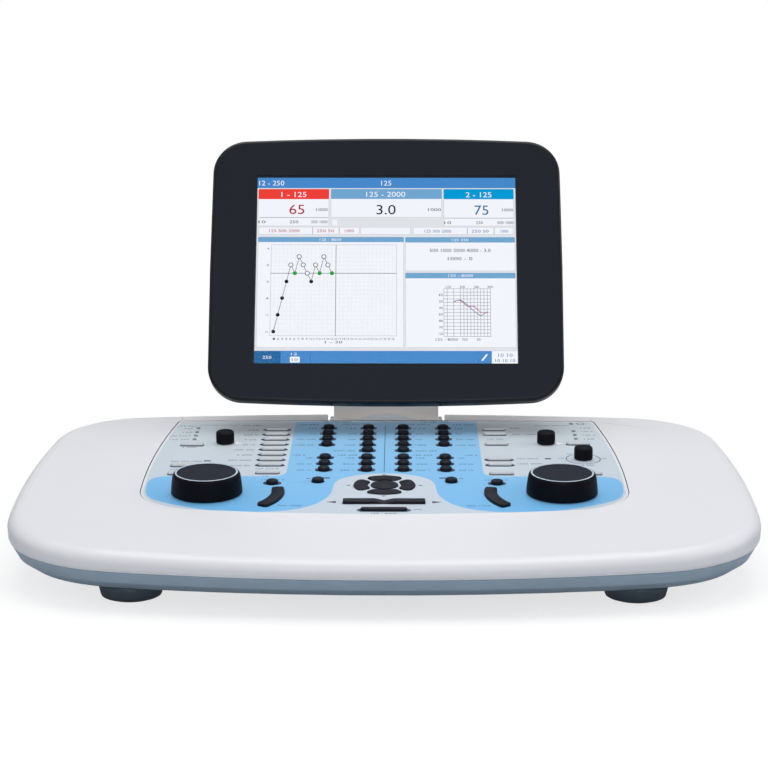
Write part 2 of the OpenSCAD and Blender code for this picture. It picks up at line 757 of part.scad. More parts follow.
module nav_key(turn) color("#24272e") placed() {
    on_deck() translate([0, 0, key_foot]) linear_extrude(nav_h - key_foot) nav_outline(turn, 0);
}

module nav_enter() color("#24272e") placed() {
    on_deck() translate([nav_at[0], nav_at[1], key_foot])
        cylinder(r = nav_enter_r, h = nav_h - key_foot);
}

// Long bar that rocks on its middle, with a dip across the top to feel for
module frequency_rocker() color("#24272e") placed() {
    on_deck() translate([0, rocker_at[1], 0]) rotate([90, 0, 0]) translate([0, 0, -rocker_d / 2])
        linear_extrude(rocker_d) polygon([[-rocker_w / 2, rocker_h], [-7, rocker_h],
            [0, rocker_h - rocker_dip], [7, rocker_h], [rocker_w / 2, rocker_h], [rocker_w / 2, -1.6],
            [8, key_foot + 1], [-8, key_foot + 1], [-rocker_w / 2, -1.6]]);
}

module store_bar() color("#24272e") placed() {
    on_deck() translate([0, 0, key_foot]) linear_extrude(store_h - key_foot) store_outline(0);
}

module left_dial() level_dial(-1);
module right_dial() level_dial(1);
module left_dial_shaft() control_shaft([-dial_at[0], dial_at[1]], encoder_depth, dial_h - 4.4);
module right_dial_shaft() control_shaft(dial_at, encoder_depth, dial_h - 4.4);
module left_volume_knob() small_knob([-volume_at[0], volume_at[1]]);
module right_volume_knob() small_knob(volume_at);
module monitor_knob() small_knob(monitor_at);
module left_volume_shaft() control_shaft([-volume_at[0], volume_at[1]], control_depth, knob_h - 2.8);
module right_volume_shaft() control_shaft(volume_at, control_depth, knob_h - 2.8);
module monitor_shaft() control_shaft(monitor_at, control_depth, knob_h - 2.8);

top_shell();
bottom_shell();
control_panel();
hinge_cover();
feet();
foot_pads();
case_screws();
main_board();
keypad_board();
keypad_mat();
light_pipes();
indicator_leds();
dial_encoders();
volume_controls();
hinge_brackets();
connector_plate();
audio_jacks();
power_inlet();
usb_ports();
monitor_speaker();
display_bezel();
display_back();
screen_glass();
lcd_module();
display_board();
display_screws();
neck();
hinge_shaft();
left_dial();
left_dial_shaft();
right_dial();
right_dial_shaft();
left_volume_knob();
left_volume_shaft();
right_volume_knob();
right_volume_shaft();
monitor_knob();
monitor_shaft();
selector_keys(0);  // selector_keys_1
selector_keys(1);  // selector_keys_2
selector_keys(2);  // selector_keys_3
selector_keys(3);  // selector_keys_4
pale_keys(left_lit_at);  // left_test_keys
pale_keys(left_option_at);  // left_option_keys
pale_keys(concat(right_plain_at, right_lit_at));  // right_test_keys
pale_keys(right_option_at);  // right_option_keys
single_key([-interrupt_at[0], interrupt_at[1]]);  // left_interrupt_key
single_key(interrupt_at);  // right_interrupt_key
single_key([-tracking_at[0], tracking_at[1]]);  // left_tracking_key
single_key(tracking_at);  // right_tracking_key
present_bar(-1);  // left_present_bar
present_bar(1);  // right_present_bar
nav_key(0);  // nav_up
nav_key(180);  // nav_down
nav_key(90);  // nav_left
nav_key(270);  // nav_right
nav_enter();
frequency_rocker();
store_bar();
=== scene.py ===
# %% [markdown]
# # A desktop audiometer
# A hearing test console: a wide white case with a sloped panel of keys and dials, and a display on a
# tilting neck. The parts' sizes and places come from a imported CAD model, which is loaded first and
# never moved. What Blender adds is the finish: rounded edges, ribs, printed marks, a lit picture on
# the screen, and materials.

import json
import math

import bmesh
import bpy
from mathutils import Matrix, Vector


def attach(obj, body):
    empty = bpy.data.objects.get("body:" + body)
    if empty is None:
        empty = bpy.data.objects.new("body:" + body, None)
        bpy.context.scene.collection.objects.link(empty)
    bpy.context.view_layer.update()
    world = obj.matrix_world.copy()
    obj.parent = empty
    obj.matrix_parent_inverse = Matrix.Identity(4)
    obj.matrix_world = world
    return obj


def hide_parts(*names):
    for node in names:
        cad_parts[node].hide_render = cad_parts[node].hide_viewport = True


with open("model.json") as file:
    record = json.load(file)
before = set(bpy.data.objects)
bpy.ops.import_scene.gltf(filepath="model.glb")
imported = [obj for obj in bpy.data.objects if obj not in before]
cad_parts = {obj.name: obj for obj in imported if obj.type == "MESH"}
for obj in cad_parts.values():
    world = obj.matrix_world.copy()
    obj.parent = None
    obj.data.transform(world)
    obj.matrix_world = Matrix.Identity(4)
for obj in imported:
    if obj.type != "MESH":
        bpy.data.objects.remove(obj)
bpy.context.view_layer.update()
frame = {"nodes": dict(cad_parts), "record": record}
print("nodes loaded:", len(frame["nodes"]))

# %% [markdown]
# Two parts of the object slope: the deck that carries the controls, and the face of the display.
# Each gets a place, a matrix that takes a point drawn flat (x to the right, y up the slope, z out of
# the surface) to where it is on the object. Drawing flat and placing afterwards keeps every number
# readable, because a key 5 mm tall is then simply 5 mm tall. Lengths are written in millimetres and
# multiplied by MM.

# %% The two sloping places
MM = 0.001
MIDDLE = 26.28
DECK_SLOPE = math.radians(5.9)
FACE_LEAN = math.radians(23.6)

deck = Matrix.Translation((0, -MIDDLE * MM, 57.118 * MM)) @ Matrix.Rotation(DECK_SLOPE, 4, "X")
face = Matrix.Translation((0, (116.6 - MIDDLE) * MM, 94.7 * MM))
face = face @ Matrix.Rotation(math.pi / 2 - FACE_LEAN, 4, "X")


def drawn(place, point):
    """A point of the object as it is drawn flat, in millimetres."""
    return place.inverted() @ point / MM


print("deck origin in mm:", [round(v / MM, 1) for v in deck.translation])

# %% [markdown]
# Blender's operators act on whatever is selected, so each step begins by clearing the selection and
# picking what it needs. These helpers make one piece the only one selected, and pick its faces,
# edges or vertices by a test on where they are.

# %% Picking pieces and their parts


def solo(piece):
    """Makes a piece the only one selected, and the active one."""
    bpy.ops.object.select_all(action="DESELECT")
    piece.select_set(True)
    bpy.context.view_layer.objects.active = piece


def centre(part):
    """The middle of a face, edge or vertex."""
    if isinstance(part, bmesh.types.BMVert):
        return part.co.copy()
    return sum((v.co for v in part.verts), Vector()) / len(part.verts)


def choose(piece, kind, test):
    """Opens a piece in edit mode with only the parts selected that pass the test."""
    solo(piece)
    bpy.ops.object.mode_set(mode="EDIT")
    bpy.ops.mesh.select_mode(type=kind)
    bpy.ops.mesh.select_all(action="DESELECT")
    shape = bmesh.from_edit_mesh(piece.data)
    parts = {"FACE": shape.faces, "EDGE": shape.edges, "VERT": shape.verts}[kind]
    picked = [part for part in parts if test(part)]
    for part in picked:
        part.select_set(True)
    bmesh.update_edit_mesh(piece.data)
    return len(picked)


def open_whole(piece):
    """Opens a piece in edit mode with all of it selected."""
    solo(piece)
    bpy.ops.object.mode_set(mode="EDIT")
    bpy.ops.mesh.select_mode(type="VERT")
    bpy.ops.mesh.select_all(action="SELECT")


def close_editing():
    """Leaves edit mode."""
    bpy.ops.object.mode_set(mode="OBJECT")


print("helpers for picking: 5")

# %% [markdown]
# Many pieces start from the CAD shape, which is exact but has hard edges. A copy with its own mesh
# is welded, because the CAD mesh is loose triangles, and flat areas are joined back into single
# faces so that a bevel runs cleanly round them.

# %% Copies of CAD shapes


def copy_of(node, name, tidy=True):
    """A welded copy of a CAD node, free of its parent."""
    source = frame["nodes"][node]
    piece = source.copy()
    piece.data = source.data.copy()
    piece.name = name
    piece.parent = None
    piece.matrix_world = source.matrix_world.copy()
    bpy.context.collection.objects.link(piece)
    open_whole(piece)
    bpy.ops.mesh.remove_doubles(threshold=0.002 * MM)
    close_editing()
    if tidy:
        join_flats(piece)
    return piece


def join_flats(piece):
    """Joins the triangles of each flat area into whole faces."""
    open_whole(piece)
    bpy.ops.mesh.dissolve_limited(angle_limit=math.radians(0.5))
    close_editing()


def round_edges(piece, test, width, steps=3):
    """Bevels the sharp edges that pass the test, by a width in millimetres."""
    def sharp(edge):
        return len(edge.link_faces) == 2 and edge.calc_face_angle(0) > 0.6 and test(edge)
    count = choose(piece, "EDGE", sharp)
    if count:
        bpy.ops.mesh.bevel(offset=width * MM, segments=steps, affect="EDGES", clamp_overlap=True)
    close_editing()


print("helpers for CAD copies: 3")

# %% [markdown]
# Knobs and dials are turned parts, so they are made as on a lathe: a short cylinder, whose top face
# is then drawn upwards and widened or narrowed, one ring after another. The last face stays as the
# closed top. A spun outline would do as well, but a cylinder starts closed and stays closed. A cap that
# the object has more than once is turned once and copied.

# %% A helper for turned pieces


def turned(name, rings, sides=96):
    """A closed turned solid from (radius, height) rings in millimetres, drawn about the Z axis."""
    (r0, z0), (r1, z1) = rings[0], rings[1]
    bpy.ops.object.select_all(action="DESELECT")
    bpy.ops.mesh.primitive_cylinder_add(vertices=sides, radius=r0 * MM, depth=(z1 - z0) * MM,
                                        location=(0, 0, (z0 + z1) / 2 * MM))
    piece = bpy.context.object
    piece.name = name
    bpy.ops.object.transform_apply(location=True, rotation=True, scale=True)
    choose(piece, "FACE", lambda f: f.normal.z > 0.9 and centre(f).z > (z0 + z1) / 2 * MM)
    bpy.ops.transform.resize(value=(r1 / r0, r1 / r0, 1))
    for (ra, za), (rb, zb) in zip(rings[1:], rings[2:]):
        bpy.ops.mesh.extrude_region_move(TRANSFORM_OT_translate={"value": (0, 0, (zb - za) * MM)})
        bpy.ops.transform.resize(value=(rb / ra, rb / ra, 1))
    close_editing()
    return piece


def twin(piece, name):
    """A copy of a piece with its own mesh."""
    copy = piece.copy()
    copy.data = piece.data.copy()
    copy.name = name
    bpy.context.collection.objects.link(copy)
    return copy


print("helpers for turned pieces: 2")

# %% [markdown]
# A finished piece is put in its place, its place is applied so that the object sits at the origin,
# and it is given its materials and handed to the body it moves with. The CAD parts it stands for are
# hidden.

# %% Placing and finishing


def finish(piece, body, paints=(), place=None, stands_for=(), smooth=35):
    """Places a piece, gives it its materials, and hands it to its body."""
    if place is not None:
        piece.matrix_basis = place @ piece.matrix_basis
    solo(piece)
    bpy.ops.object.transform_apply(location=True, rotation=True, scale=True)
    bpy.ops.object.shade_smooth_by_angle(angle=math.radians(smooth))
    if paints:
        zones = [0] * len(piece.data.polygons)
        piece.data.polygons.foreach_get("material_index", zones)
        piece.data.materials.clear()
        for paint in paints:
            piece.data.materials.append(paint)
        piece.data.polygons.foreach_set("material_index", zones)
    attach(piece, body)
    if stands_for:
        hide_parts(*stands_for)
    print(piece.name, "faces:", len(piece.data.polygons))


print("helper for finishing: 1")

# %% [markdown]
# ## Materials
# Every finish is made from maths on the place of each point, so nothing is an image. A small class
# stands for a number that flows between nodes. Adding or multiplying two of them adds the Math node
# that does so, and the recipe reads as a formula.

# %% Shader maths as plain expressions


class Flow:
    """A value that runs between the nodes of one material."""

    def __init__(self, paint, socket):
        self.paint = paint
        self.socket = socket

    def maths(self, operation, first, second):
        return self.paint.node("ShaderNodeMath", {"operation": operation}, {0: first, 1: second})

    def __add__(self, other):
        return self.maths("ADD", self, other)

    def __radd__(self, other):
        return self.maths("ADD", other, self)

    def __sub__(self, other):
        return self.maths("SUBTRACT", self, other)

    def __rsub__(self, other):
        return self.maths("SUBTRACT", other, self)

    def __mul__(self, other):
        return self.maths("MULTIPLY", self, other)

    def __rmul__(self, other):
        return self.maths("MULTIPLY", other, self)

    def clamped(self):
        return self.paint.node("ShaderNodeClamp", {}, {0: self, 1: 0.0, 2: 1.0})


class Paint:
    """One material and the nodes that make it."""

    def __init__(self, name):
        self.material = bpy.data.materials.new(name)
        self.material.use_nodes = True
        self.tree = self.material.node_tree
        self.shader = self.tree.nodes["Principled BSDF"]

    def node(self, kind, settings, values, output=0):
        """Adds a node, sets its settings first, then its sockets, and returns one output."""
        node = self.tree.nodes.new(kind)
        for key, setting in settings.items():
            setattr(node, key, setting)
        for key, value in values.items():
            self.join(value, node.inputs[key])
        return Flow(self, node.outputs[output])

    def join(self, value, socket):
        if isinstance(value, Flow):
            self.tree.links.new(value.socket, socket)
        else:
            socket.default_value = value

    def place(self):
        return self.node("ShaderNodeTexCoord", {}, {}, "Object")

    def noise(self, scale, detail=3.0, rough=0.5):
        """A cloudy value from 0 to 1; scale is in lumps a metre."""
        values = {"Vector": self.place(), "Scale": scale, "Detail": detail, "Roughness": rough}
        return self.node("ShaderNodeTexNoise", {}, values)

    def mix(self, factor, first, second):
        """A colour between two others."""
        values = {0: factor, 6: first, 7: second}
        return self.node("ShaderNodeMix", {"data_type": "RGBA"}, values, 2)

    def edges(self, start=0.51, gain=14.0):
        """About 1 on sharp outer edges and 0 on flats."""
        bend = self.node("ShaderNodeNewGeometry", {}, {}, "Pointiness")
        return ((bend - start) * gain).clamped()

    def bump(self, height, depth):
        values = {"Height": height, "Distance": depth, "Strength": 1.0}
        self.join(self.node("ShaderNodeBump", {}, values), self.shader.inputs["Normal"])

    def set(self, **sockets):
        for key, value in sockets.items():
            self.join(value, self.shader.inputs[key.replace("_", " ")])


def colour(red, green, blue):
    """A colour written as on a screen, from 0 to 255, made linear for the shader."""
    def linear(level):
        level = level / 255
        return level / 12.92 if level <= 0.04045 else ((level + 0.055) / 1.055) ** 2.4
    return (linear(red), linear(green), linear(blue), 1.0)


def shade(tone, amount):
    """A lighter or darker version of a colour."""
    return tuple(min(level * amount, 1.0) for level in tone[:3]) + (1.0,)


print("mid grey in linear light:", round(colour(128, 128, 128)[0], 3))

# %% [markdown]
# Most of the object is moulded plastic. Real mouldings are never one flat colour: the tone drifts a
# little over a hand's width, the surface has a spark-eroded grain finer than a millimetre, handling
# polishes some places more than others, and corners catch the light because they are worn smoother
# and paler.

# %% Moulded plastic


def moulded(name, tone, roughness=0.45, grain=0.012, drift=0.05, wear=0.12, coat=0.0, lumps=900.0,
            shine=0.5):
    """Moulded plastic with drift of tone, fine grain, uneven polish and pale edges."""
    paint = Paint(name)
    cloud = paint.noise(9.0, 2.0)
    speck = paint.noise(lumps, 2.0, 0.6)
    base = paint.mix(cloud, shade(tone, 1 - drift), shade(tone, 1 + drift))
    base = paint.mix(speck * drift, base, shade(tone, 0.7))
    worn = paint.edges() * (paint.noise(60.0, 3.0) * wear * 2)
    base = paint.mix(worn.clamped(), base, shade(tone, 1.6))
    paint.set(Base_Color=base, Roughness=roughness - 0.06 + cloud * 0.08 + speck * 0.05 - worn * 0.3)
    paint.shader.inputs["Coat Weight"].default_value = coat
    paint.shader.inputs["Coat Roughness"].default_value = 0.2
    paint.shader.inputs["Specular IOR Level"].default_value = shine
    paint.bump(speck, grain * MM)
    return paint.material


white_shell = moulded("white shell", colour(227, 227, 231), 0.42, 0.006, 0.012, 0.3)
blue_grey_shell = moulded("blue-grey shell", colour(152, 170, 184), 0.5, 0.008, 0.03, 0.2)
# The feet are toned much darker than the lower shell they belong to, as painted shade under the case.
foot_plastic = moulded("foot plastic", colour(58, 70, 80), 0.5, 0.01, 0.05)
foot_rubber = moulded("foot rubber", colour(34, 35, 38), 0.75, 0.03, 0.1)
display_gloss = moulded("display frame", colour(30, 33, 42), 0.42, 0.004, 0.04, 0.1, shine=0.08)
# The frame's rim is glossier than the face, and its darker tone is painted shade on the rounded edges.
frame_rim_painted_shade = moulded("display frame rim", colour(16, 18, 25), 0.34, 0.002, 0.04, 0.1, shine=0.3)
display_shell = moulded("display back", colour(35, 37, 43), 0.5, 0.02, 0.06, shine=0.2)
# The neck is toned paler than its own warm grey, as painted light where the display shades it.
neck_grey = moulded("neck paint", colour(236, 228, 222), 0.4, 0.006, 0.04)
dial_black = moulded("dial black", colour(13, 15, 22), 0.46, 0.01, 0.06, shine=0.06)
dial_disc = moulded("dial disc", colour(35, 39, 50), 0.6, 0.05, 0.1, 0.1, 0.0, 1800.0, 0.12)
knob_black = moulded("knob black", colour(15, 17, 22), 0.52, 0.01, 0.06, shine=0.1)
key_black = moulded("black keys", colour(19, 22, 31), 0.42, 0.008, 0.06, shine=0.12)
key_pale = moulded("pale keys", colour(196, 201, 205), 0.3, 0.006, 0.03)
# Painted shade: the sides of the pale keys are toned much darker than their tops.
key_sides_painted_shade = moulded("pale key sides", colour(112, 118, 128), 0.45, 0.006, 0.04, 0.05)
film_edge = moulded("panel edge", colour(222, 226, 230), 0.4, 0.006, 0.02)
gap_shade = moulded("shadow gap", colour(52, 54, 62), 0.7, 0.01, 0.05)
socket_black = moulded("socket plastic", colour(26, 27, 30), 0.45, 0.008, 0.05)
board_green = moulded("circuit board", colour(20, 92, 58), 0.35, 0.01, 0.1)
# The key mat is toned a darker grey as painted shade, so the gaps round the keys show dark.
mat_silicone = moulded("key mat", colour(88, 90, 96), 0.6, 0.01, 0.05)
control_blue = moulded("control bodies", colour(52, 88, 160), 0.45, 0.01, 0.05)
plate_paint = moulded("connector plate", colour(88, 93, 99), 0.5, 0.02, 0.05)
lens_rim = moulded("light guide rim", colour(42, 48, 80), 0.3, 0.004, 0.05)
print("moulded finishes: 22")

# %% [markdown]
# The panel's film is printed in flat colours under a matte coat with a fine even tooth. Each colour is
# made lighter towards the back of the deck and deeper towards its front, as painted light.

# %% Printed film with painted light


def printed_film_with_painted_light(name, front, back):
    """A matte film in a printed colour, with painted light: lighter at the back of the deck than at its
    front.
    """
    paint = Paint(name)
    depth = paint.node("ShaderNodeSeparateXYZ", {}, {0: paint.place()}, "Y")
    # Painted light: the printed tone turns lighter towards the back of the deck.
    run = ((depth + 0.11) * 4.5).clamped()
    cloud = paint.noise(12.0, 2.0)
    tooth = paint.noise(2200.0, 2.0, 0.6)
    base = paint.mix(cloud * 0.04, paint.mix(run, front, back), shade(back, 0.85))
    base = paint.mix(tooth * 0.03, base, shade(front, 0.7))
    paint.set(Base_Color=base, Roughness=0.38 + cloud * 0.06)
    paint.bump(tooth, 0.012 * MM)
    return paint.material


# The second colour of each film is its tone at the back, made lighter as painted light.
film_grey = printed_film_with_painted_light("panel film, grey", colour(196, 207, 219), colour(206, 216, 223))
film_blue = printed_film_with_painted_light("panel film, blue", colour(108, 182, 234), colour(150, 203, 240))
print("printed films: 2")

# %% [markdown]
# Metal parts are turned or stamped. Their colour is fairly even, and what shows them as metal is the
# fine direction of the machining, which stretches the roughness along one way.

# %% Metals, lens and glass


def machined(name, tone, roughness=0.3):
    """Metal with fine tool marks along X."""
    paint = Paint(name)
    grid = {"Vector": paint.place(), "Scale": (40.0, 900.0, 900.0)}
    stretched = paint.node("ShaderNodeMapping", {}, grid)
    marks = paint.node("ShaderNodeTexNoise", {}, {"Vector": stretched, "Scale": 2.0, "Detail": 2.0})
    cloud = paint.noise(30.0)
    paint.set(Base_Color=paint.mix(cloud, shade(tone, 0.9), shade(tone, 1.08)),
              Roughness=roughness - 0.08 + marks * 0.16, Metallic=1.0)
    paint.bump(marks, 0.004 * MM)
    return paint.material


def clear_lens(name, tone, alpha=0.85):
    """Clear moulded plastic, a little milky, made paler on its convex edges as a painted highlight."""
    paint = Paint(name)
    cloud = paint.noise(400.0)
    # Painted highlight: the lens is made paler on its convex edges.
    rim = paint.edges(0.5, 6.0)
    base = paint.mix(cloud, shade(tone, 0.86), shade(tone, 1.1))
    paint.set(Base_Color=paint.mix(rim, base, shade(tone, 1.35)), Roughness=0.12 + cloud * 0.1)
    paint.set(Alpha=alpha)
    paint.shader.inputs["Coat Weight"].default_value = 0.4
    paint.bump(cloud, 0.01 * MM)
    return paint.material


zinc_steel = machined("zinc plated steel", colour(170, 172, 176), 0.38)
shaft_steel = machined("turned steel", colour(190, 192, 196), 0.28)
lens_lilac = clear_lens("clear light guides", colour(156, 156, 194))
lens_grey = clear_lens("indicator lamps", colour(120, 138, 140), 1.0)
ring_paint = moulded("dial ring", colour(196, 212, 230), 0.25, 0.002, 0.03)


def clear_window(name):
    """Clear glass that shows what is behind it and reflects more the flatter it is looked along."""
    paint = Paint(name)
    smudge = paint.noise(14.0)
    through = paint.node("ShaderNodeBsdfTransparent", {}, {"Color": (0.98, 0.99, 1.0, 1.0)})
    gloss = paint.node("ShaderNodeBsdfGlossy", {}, {"Roughness": 0.06 + smudge * 0.05})
    share = paint.node("ShaderNodeFresnel", {}, {"IOR": 1.33}) * (0.1 + smudge * 0.04)
    both = paint.node("ShaderNodeMixShader", {}, {0: share, 1: through, 2: gloss})
    paint.join(both, paint.tree.nodes["Material Output"].inputs["Surface"])
    return paint.material


window_glass = clear_window("window glass")
print("metals, lenses and glass: 6")

# %% [markdown]
# The finishes go on the CAD nodes first, slot by slot, so that every piece has a real surface even
# where nothing more is modelled, such as the boards and shafts inside.

# %% Finishes on the CAD nodes
finish_of_slot = {
    "white_shell": white_shell, "blue_grey_shell": blue_grey_shell, "foot_plastic": foot_plastic,
    "foot_rubber": foot_rubber, "panel_film": film_grey, "zinc_steel": zinc_steel,
    "shaft_steel": shaft_steel, "circuit_board": board_green, "mat_silicone": mat_silicone,
    "clear_lens": lens_lilac, "led_lens": lens_grey, "control_body": control_blue,
    "plate_steel": plate_paint, "socket_black": socket_black, "display_gloss": display_gloss,
    "display_shell": display_shell, "window_glass": window_glass, "lcd_case": socket_black,
    "neck_grey": neck_grey, "dial_black": dial_black, "knob_black": knob_black,
    "key_pale": key_pale, "key_black": key_black,
}
slot_of_node = {part["node"]: part["material_slot"] for part in frame["record"]["subparts"]}
for node, shape in frame["nodes"].items():
    for holder in shape.material_slots:
        holder.material = finish_of_slot[slot_of_node[node]]
print("nodes finished:", len(slot_of_node))

# %% [markdown]
# ## The case
# The case is two mouldings that meet at a seam running round the edge. The upper one is thick and
# glossy white with a wide rolled rim; the lower one is blue-grey and tucks in towards the feet. The
# CAD shapes are right, so the copies mostly lose their facets: normals are smoothed wherever the
# surface turns gently, and stay sharp at the seam and at the panel's recess. Two fine grooves run back
# from the panel's corners, and the walls of its recess get a darker tone, as the gap is in shade.

# %% The two mouldings
deck_up = (deck.to_3x3() @ Vector((0, 0, 1))).normalized()
face_up = (face.to_3x3() @ Vector((0, 0, 1))).normalized()


def inset_flat(piece, place, up, height, width):
    """Insets the flat area at a height on a sloping place, so that smooth shading stays beside it."""
    def is_flat(part):
        return part.normal.dot(up) > 0.9999 and abs(drawn(place, centre(part)).z - height) < 0.02
    choose(piece, "FACE", is_flat)
    bpy.ops.mesh.inset(thickness=width * MM, use_boundary=True)
    close_editing()


def flatten(piece, up):
    """Shades flat the faces that look straight along a direction."""
    for part in piece.data.polygons:
        part.use_smooth = part.use_smooth and part.normal.dot(up) < 0.99999


def even_shading(piece):
    """Lets the large faces lead the shading, so that flat areas with openings stay even."""
    modifier = piece.modifiers.new("even shading", "WEIGHTED_NORMAL")
    modifier.weight = 100
    modifier.keep_sharp = True
    solo(piece)
    bpy.ops.object.modifier_apply(modifier="even shading")


def zone(piece, number, test):
    """Marks the faces that pass a test as the piece's material of that number."""
    for part in piece.data.polygons:
        if test(part):
            part.material_index = number


def groove(piece, place, low, high):
    """Cuts a box-shaped groove between two corners, in millimetres on a place."""
    middle = [(a + b) / 2 * MM for a, b in zip(low, high)]
    bpy.ops.mesh.primitive_cube_add(size=1, location=middle)
    tool = bpy.context.object
    tool.scale = [(b - a) * MM for a, b in zip(low, high)]
    tool.matrix_basis = place @ tool.matrix_basis
    cut(piece, tool, "DIFFERENCE")
    bpy.data.objects.remove(tool)


def cut(piece, tool, operation):
    """Joins or cuts a piece with a tool and applies the result."""
    modifier = piece.modifiers.new("cut", "BOOLEAN")
    modifier.operation = operation
    modifier.solver = "EXACT"
    modifier.object = tool
    solo(piece)
    bpy.ops.object.modifier_apply(modifier="cut")


top_shell = copy_of("top_shell", "white_case", tidy=False)
GROOVE_X = 167.3
for side in (-1, 1):
    groove(top_shell, deck, (side * GROOVE_X - 0.3, 160, -1.5), (side * GROOVE_X + 0.3, 200, 3))
join_flats(top_shell)
inset_flat(top_shell, deck, deck_up, 0, 0.9)


def in_recess(part):
    """True on the walls of the panel's recess, apart from the one at its back."""
    x, y, z = drawn(deck, part.center)
    return abs(x) < 180 and -90 < y < 158 and -2.6 < z < -0.05


zone(top_shell, 1, in_recess)
finish(top_shell, "base", [white_shell, gap_shade], stands_for=["top_shell"], smooth=24)
flatten(top_shell, deck_up)
even_shading(top_shell)
bottom_shell = copy_of("bottom_shell", "lower_case")
finish(bottom_shell, "base", [blue_grey_shell], stands_for=["bottom_shell"],
       smooth=30)

# %% [markdown]
# The cover in front of the hinge and the four feet are small mouldings. The cover's top edges are
# rounded by a bevel of half a millimetre, which is what gives them their fine highlights.

# %% Hinge cover and feet
hinge_cover = copy_of("hinge_cover", "hinge_guard")
round_edges(hinge_cover, lambda e: centre(e).z > 70 * MM, 0.5, 3)
finish(hinge_cover, "base", [white_shell], stands_for=["hinge_cover"])
# The feet take the dark foot colour, which is painted shade under the case.
feet = copy_of("feet", "round_feet")
finish(feet, "base", [foot_plastic], stands_for=["feet"], smooth=50)
pads = copy_of("foot_pads", "foot_rubbers")
finish(pads, "base", [foot_rubber], stands_for=["foot_pads"], smooth=50)

# %% [markdown]
# ## The control panel
# The panel is one plate under a printed film: light grey, with a blue shape that runs down between
# the keys and out under both dials. The blue outline is drawn as a curve through a few points on the
# left half, mirrored, and made solid. It then splits a copy of the plate in two, blue and grey, so
# the colours meet in one clean line and every opening stays where it is.

# %% Outline of the blue area
blue_left = [
    (0, 162, "VECTOR"), (-73.6, 162, "VECTOR"), (-73.6, 20, "VECTOR"), (-74.6, 13.6, "AUTO"),
    (-78, 9.2, "AUTO"), (-84, 7.6, "VECTOR"), (-160, 7.2, "VECTOR"), (-167.2, 5.4, "AUTO"),
    (-172.2, 0.6, "AUTO"), (-174.2, -7, "AUTO"), (-174, -22, "AUTO"), (-172.2, -36, "AUTO"),
    (-167, -47.6, "AUTO"), (-157.6, -56, "AUTO"), (-143.2, -65, "AUTO"), (-124.5, -73.4, "AUTO"),
    (-108, -76.6, "AUTO"), (-94, -77.6, "AUTO"), (-80, -76.8, "AUTO"), (-67.3, -73.4, "AUTO"),
    (-58.1, -68.5, "AUTO"), (-51.6, -62.8, "AUTO"), (-46.2, -55.2, "AUTO"), (-41.5, -45, "AUTO"),
    (-38.6, -33.7, "AUTO"), (-37.6, -22.5, "AUTO"), (-37, -12.6, "AUTO"), (-35, -4.5, "AUTO"),
    (-31.6, 1.4, "AUTO"), (-26, 6.6, "AUTO"), (-19.2, 10.8, "AUTO"), (-10, 13.8, "AUTO"),
    (0, 14.8, "AUTO"),
]
blue_line = blue_left + [(-x, y, turn) for x, y, turn in blue_left[-2:0:-1]]


def solid_outline(name, line, low, high):
    """A prism over a closed curve of (x, y, handle) points, from height low to high in millimetres."""
    drawing = bpy.data.curves.new(name, "CURVE")
    drawing.dimensions = "2D"
    drawing.fill_mode = "BOTH"
    drawing.extrude = (high - low) / 2 * MM
    spline = drawing.splines.new("BEZIER")
    spline.bezier_points.add(len(line) - 1)
    for knot, (x, y, turn) in zip(spline.bezier_points, line):
        knot.co = (x * MM, y * MM, 0)
        knot.handle_left_type = turn
        knot.handle_right_type = turn
    spline.use_cyclic_u = True
    spline.resolution_u = 8
    return made_solid(name, drawing, (low + high) / 2)


def made_solid(name, drawing, height):
    """Turns a filled curve into a closed mesh whose middle lies at a height."""
    piece = bpy.data.objects.new(name, drawing)
    bpy.context.collection.objects.link(piece)
    piece.location = (0, 0, height * MM)
    solo(piece)
    bpy.ops.object.convert(target="MESH")
    piece = bpy.context.object
    open_whole(piece)
    bpy.ops.mesh.remove_doubles(threshold=0.001 * MM)
    bpy.ops.mesh.normals_make_consistent(inside=False)
    close_editing()
    return piece


print("points on the blue outline:", len(blue_line))

# %% Blue and grey film
blue_tool = solid_outline("blue tool", blue_line, -4, 3)
blue_tool.matrix_world = deck @ blue_tool.matrix_world
blue_film = copy_of("control_panel", "blue_film", tidy=False)
grey_film = copy_of("control_panel", "grey_film", tidy=False)
border = copy_of("control_panel", "film_border", tidy=False)
cut(blue_film, blue_tool, "INTERSECT")
cut(grey_film, blue_tool, "DIFFERENCE")
bpy.data.objects.remove(blue_tool)
finish(blue_film, "base", [film_blue], smooth=20)
finish(grey_film, "base", [film_grey], stands_for=["control_panel"], smooth=20)

# %% [markdown]
# A pale border about 2 mm wide runs round the film. The film's outline bulges outwards everywhere, so
# its convex hull is that outline with all the openings closed. The hull's top face is inset by the
# border's width, all but the ring between is deleted, and the ring is raised a hair.

# %% Pale border of the panel
open_whole(border)
bpy.ops.mesh.convex_hull()
bpy.ops.mesh.select_all(action="SELECT")
bpy.ops.mesh.dissolve_limited(angle_limit=math.radians(0.5))
close_editing()
choose(border, "FACE", lambda f: f.normal.dot(deck_up) > 0.999)
bpy.ops.mesh.inset(thickness=1.9 * MM)
bpy.ops.mesh.delete(type="FACE")
close_editing()
choose(border, "FACE", lambda f: f.normal.dot(deck_up) < 0.999)
bpy.ops.mesh.delete(type="FACE")
bpy.ops.mesh.select_all(action="SELECT")
bpy.ops.mesh.extrude_region_move(TRANSFORM_OT_translate={"value": deck_up * 0.02 * MM})
bpy.ops.mesh.select_all(action="SELECT")
bpy.ops.mesh.normals_make_consistent(inside=False)
close_editing()
finish(border, "base", [film_edge], smooth=20)

# %% [markdown]
# ## Dials and knobs
# Each level dial is a turned moulding a hand can spin: nearly straight sides, a rounded shoulder, a
# thin bright ring let into the shoulder and a finely textured disc inside it. The profile is drawn
# once as rings and the faces of the ring and the disc are given their own finishes.

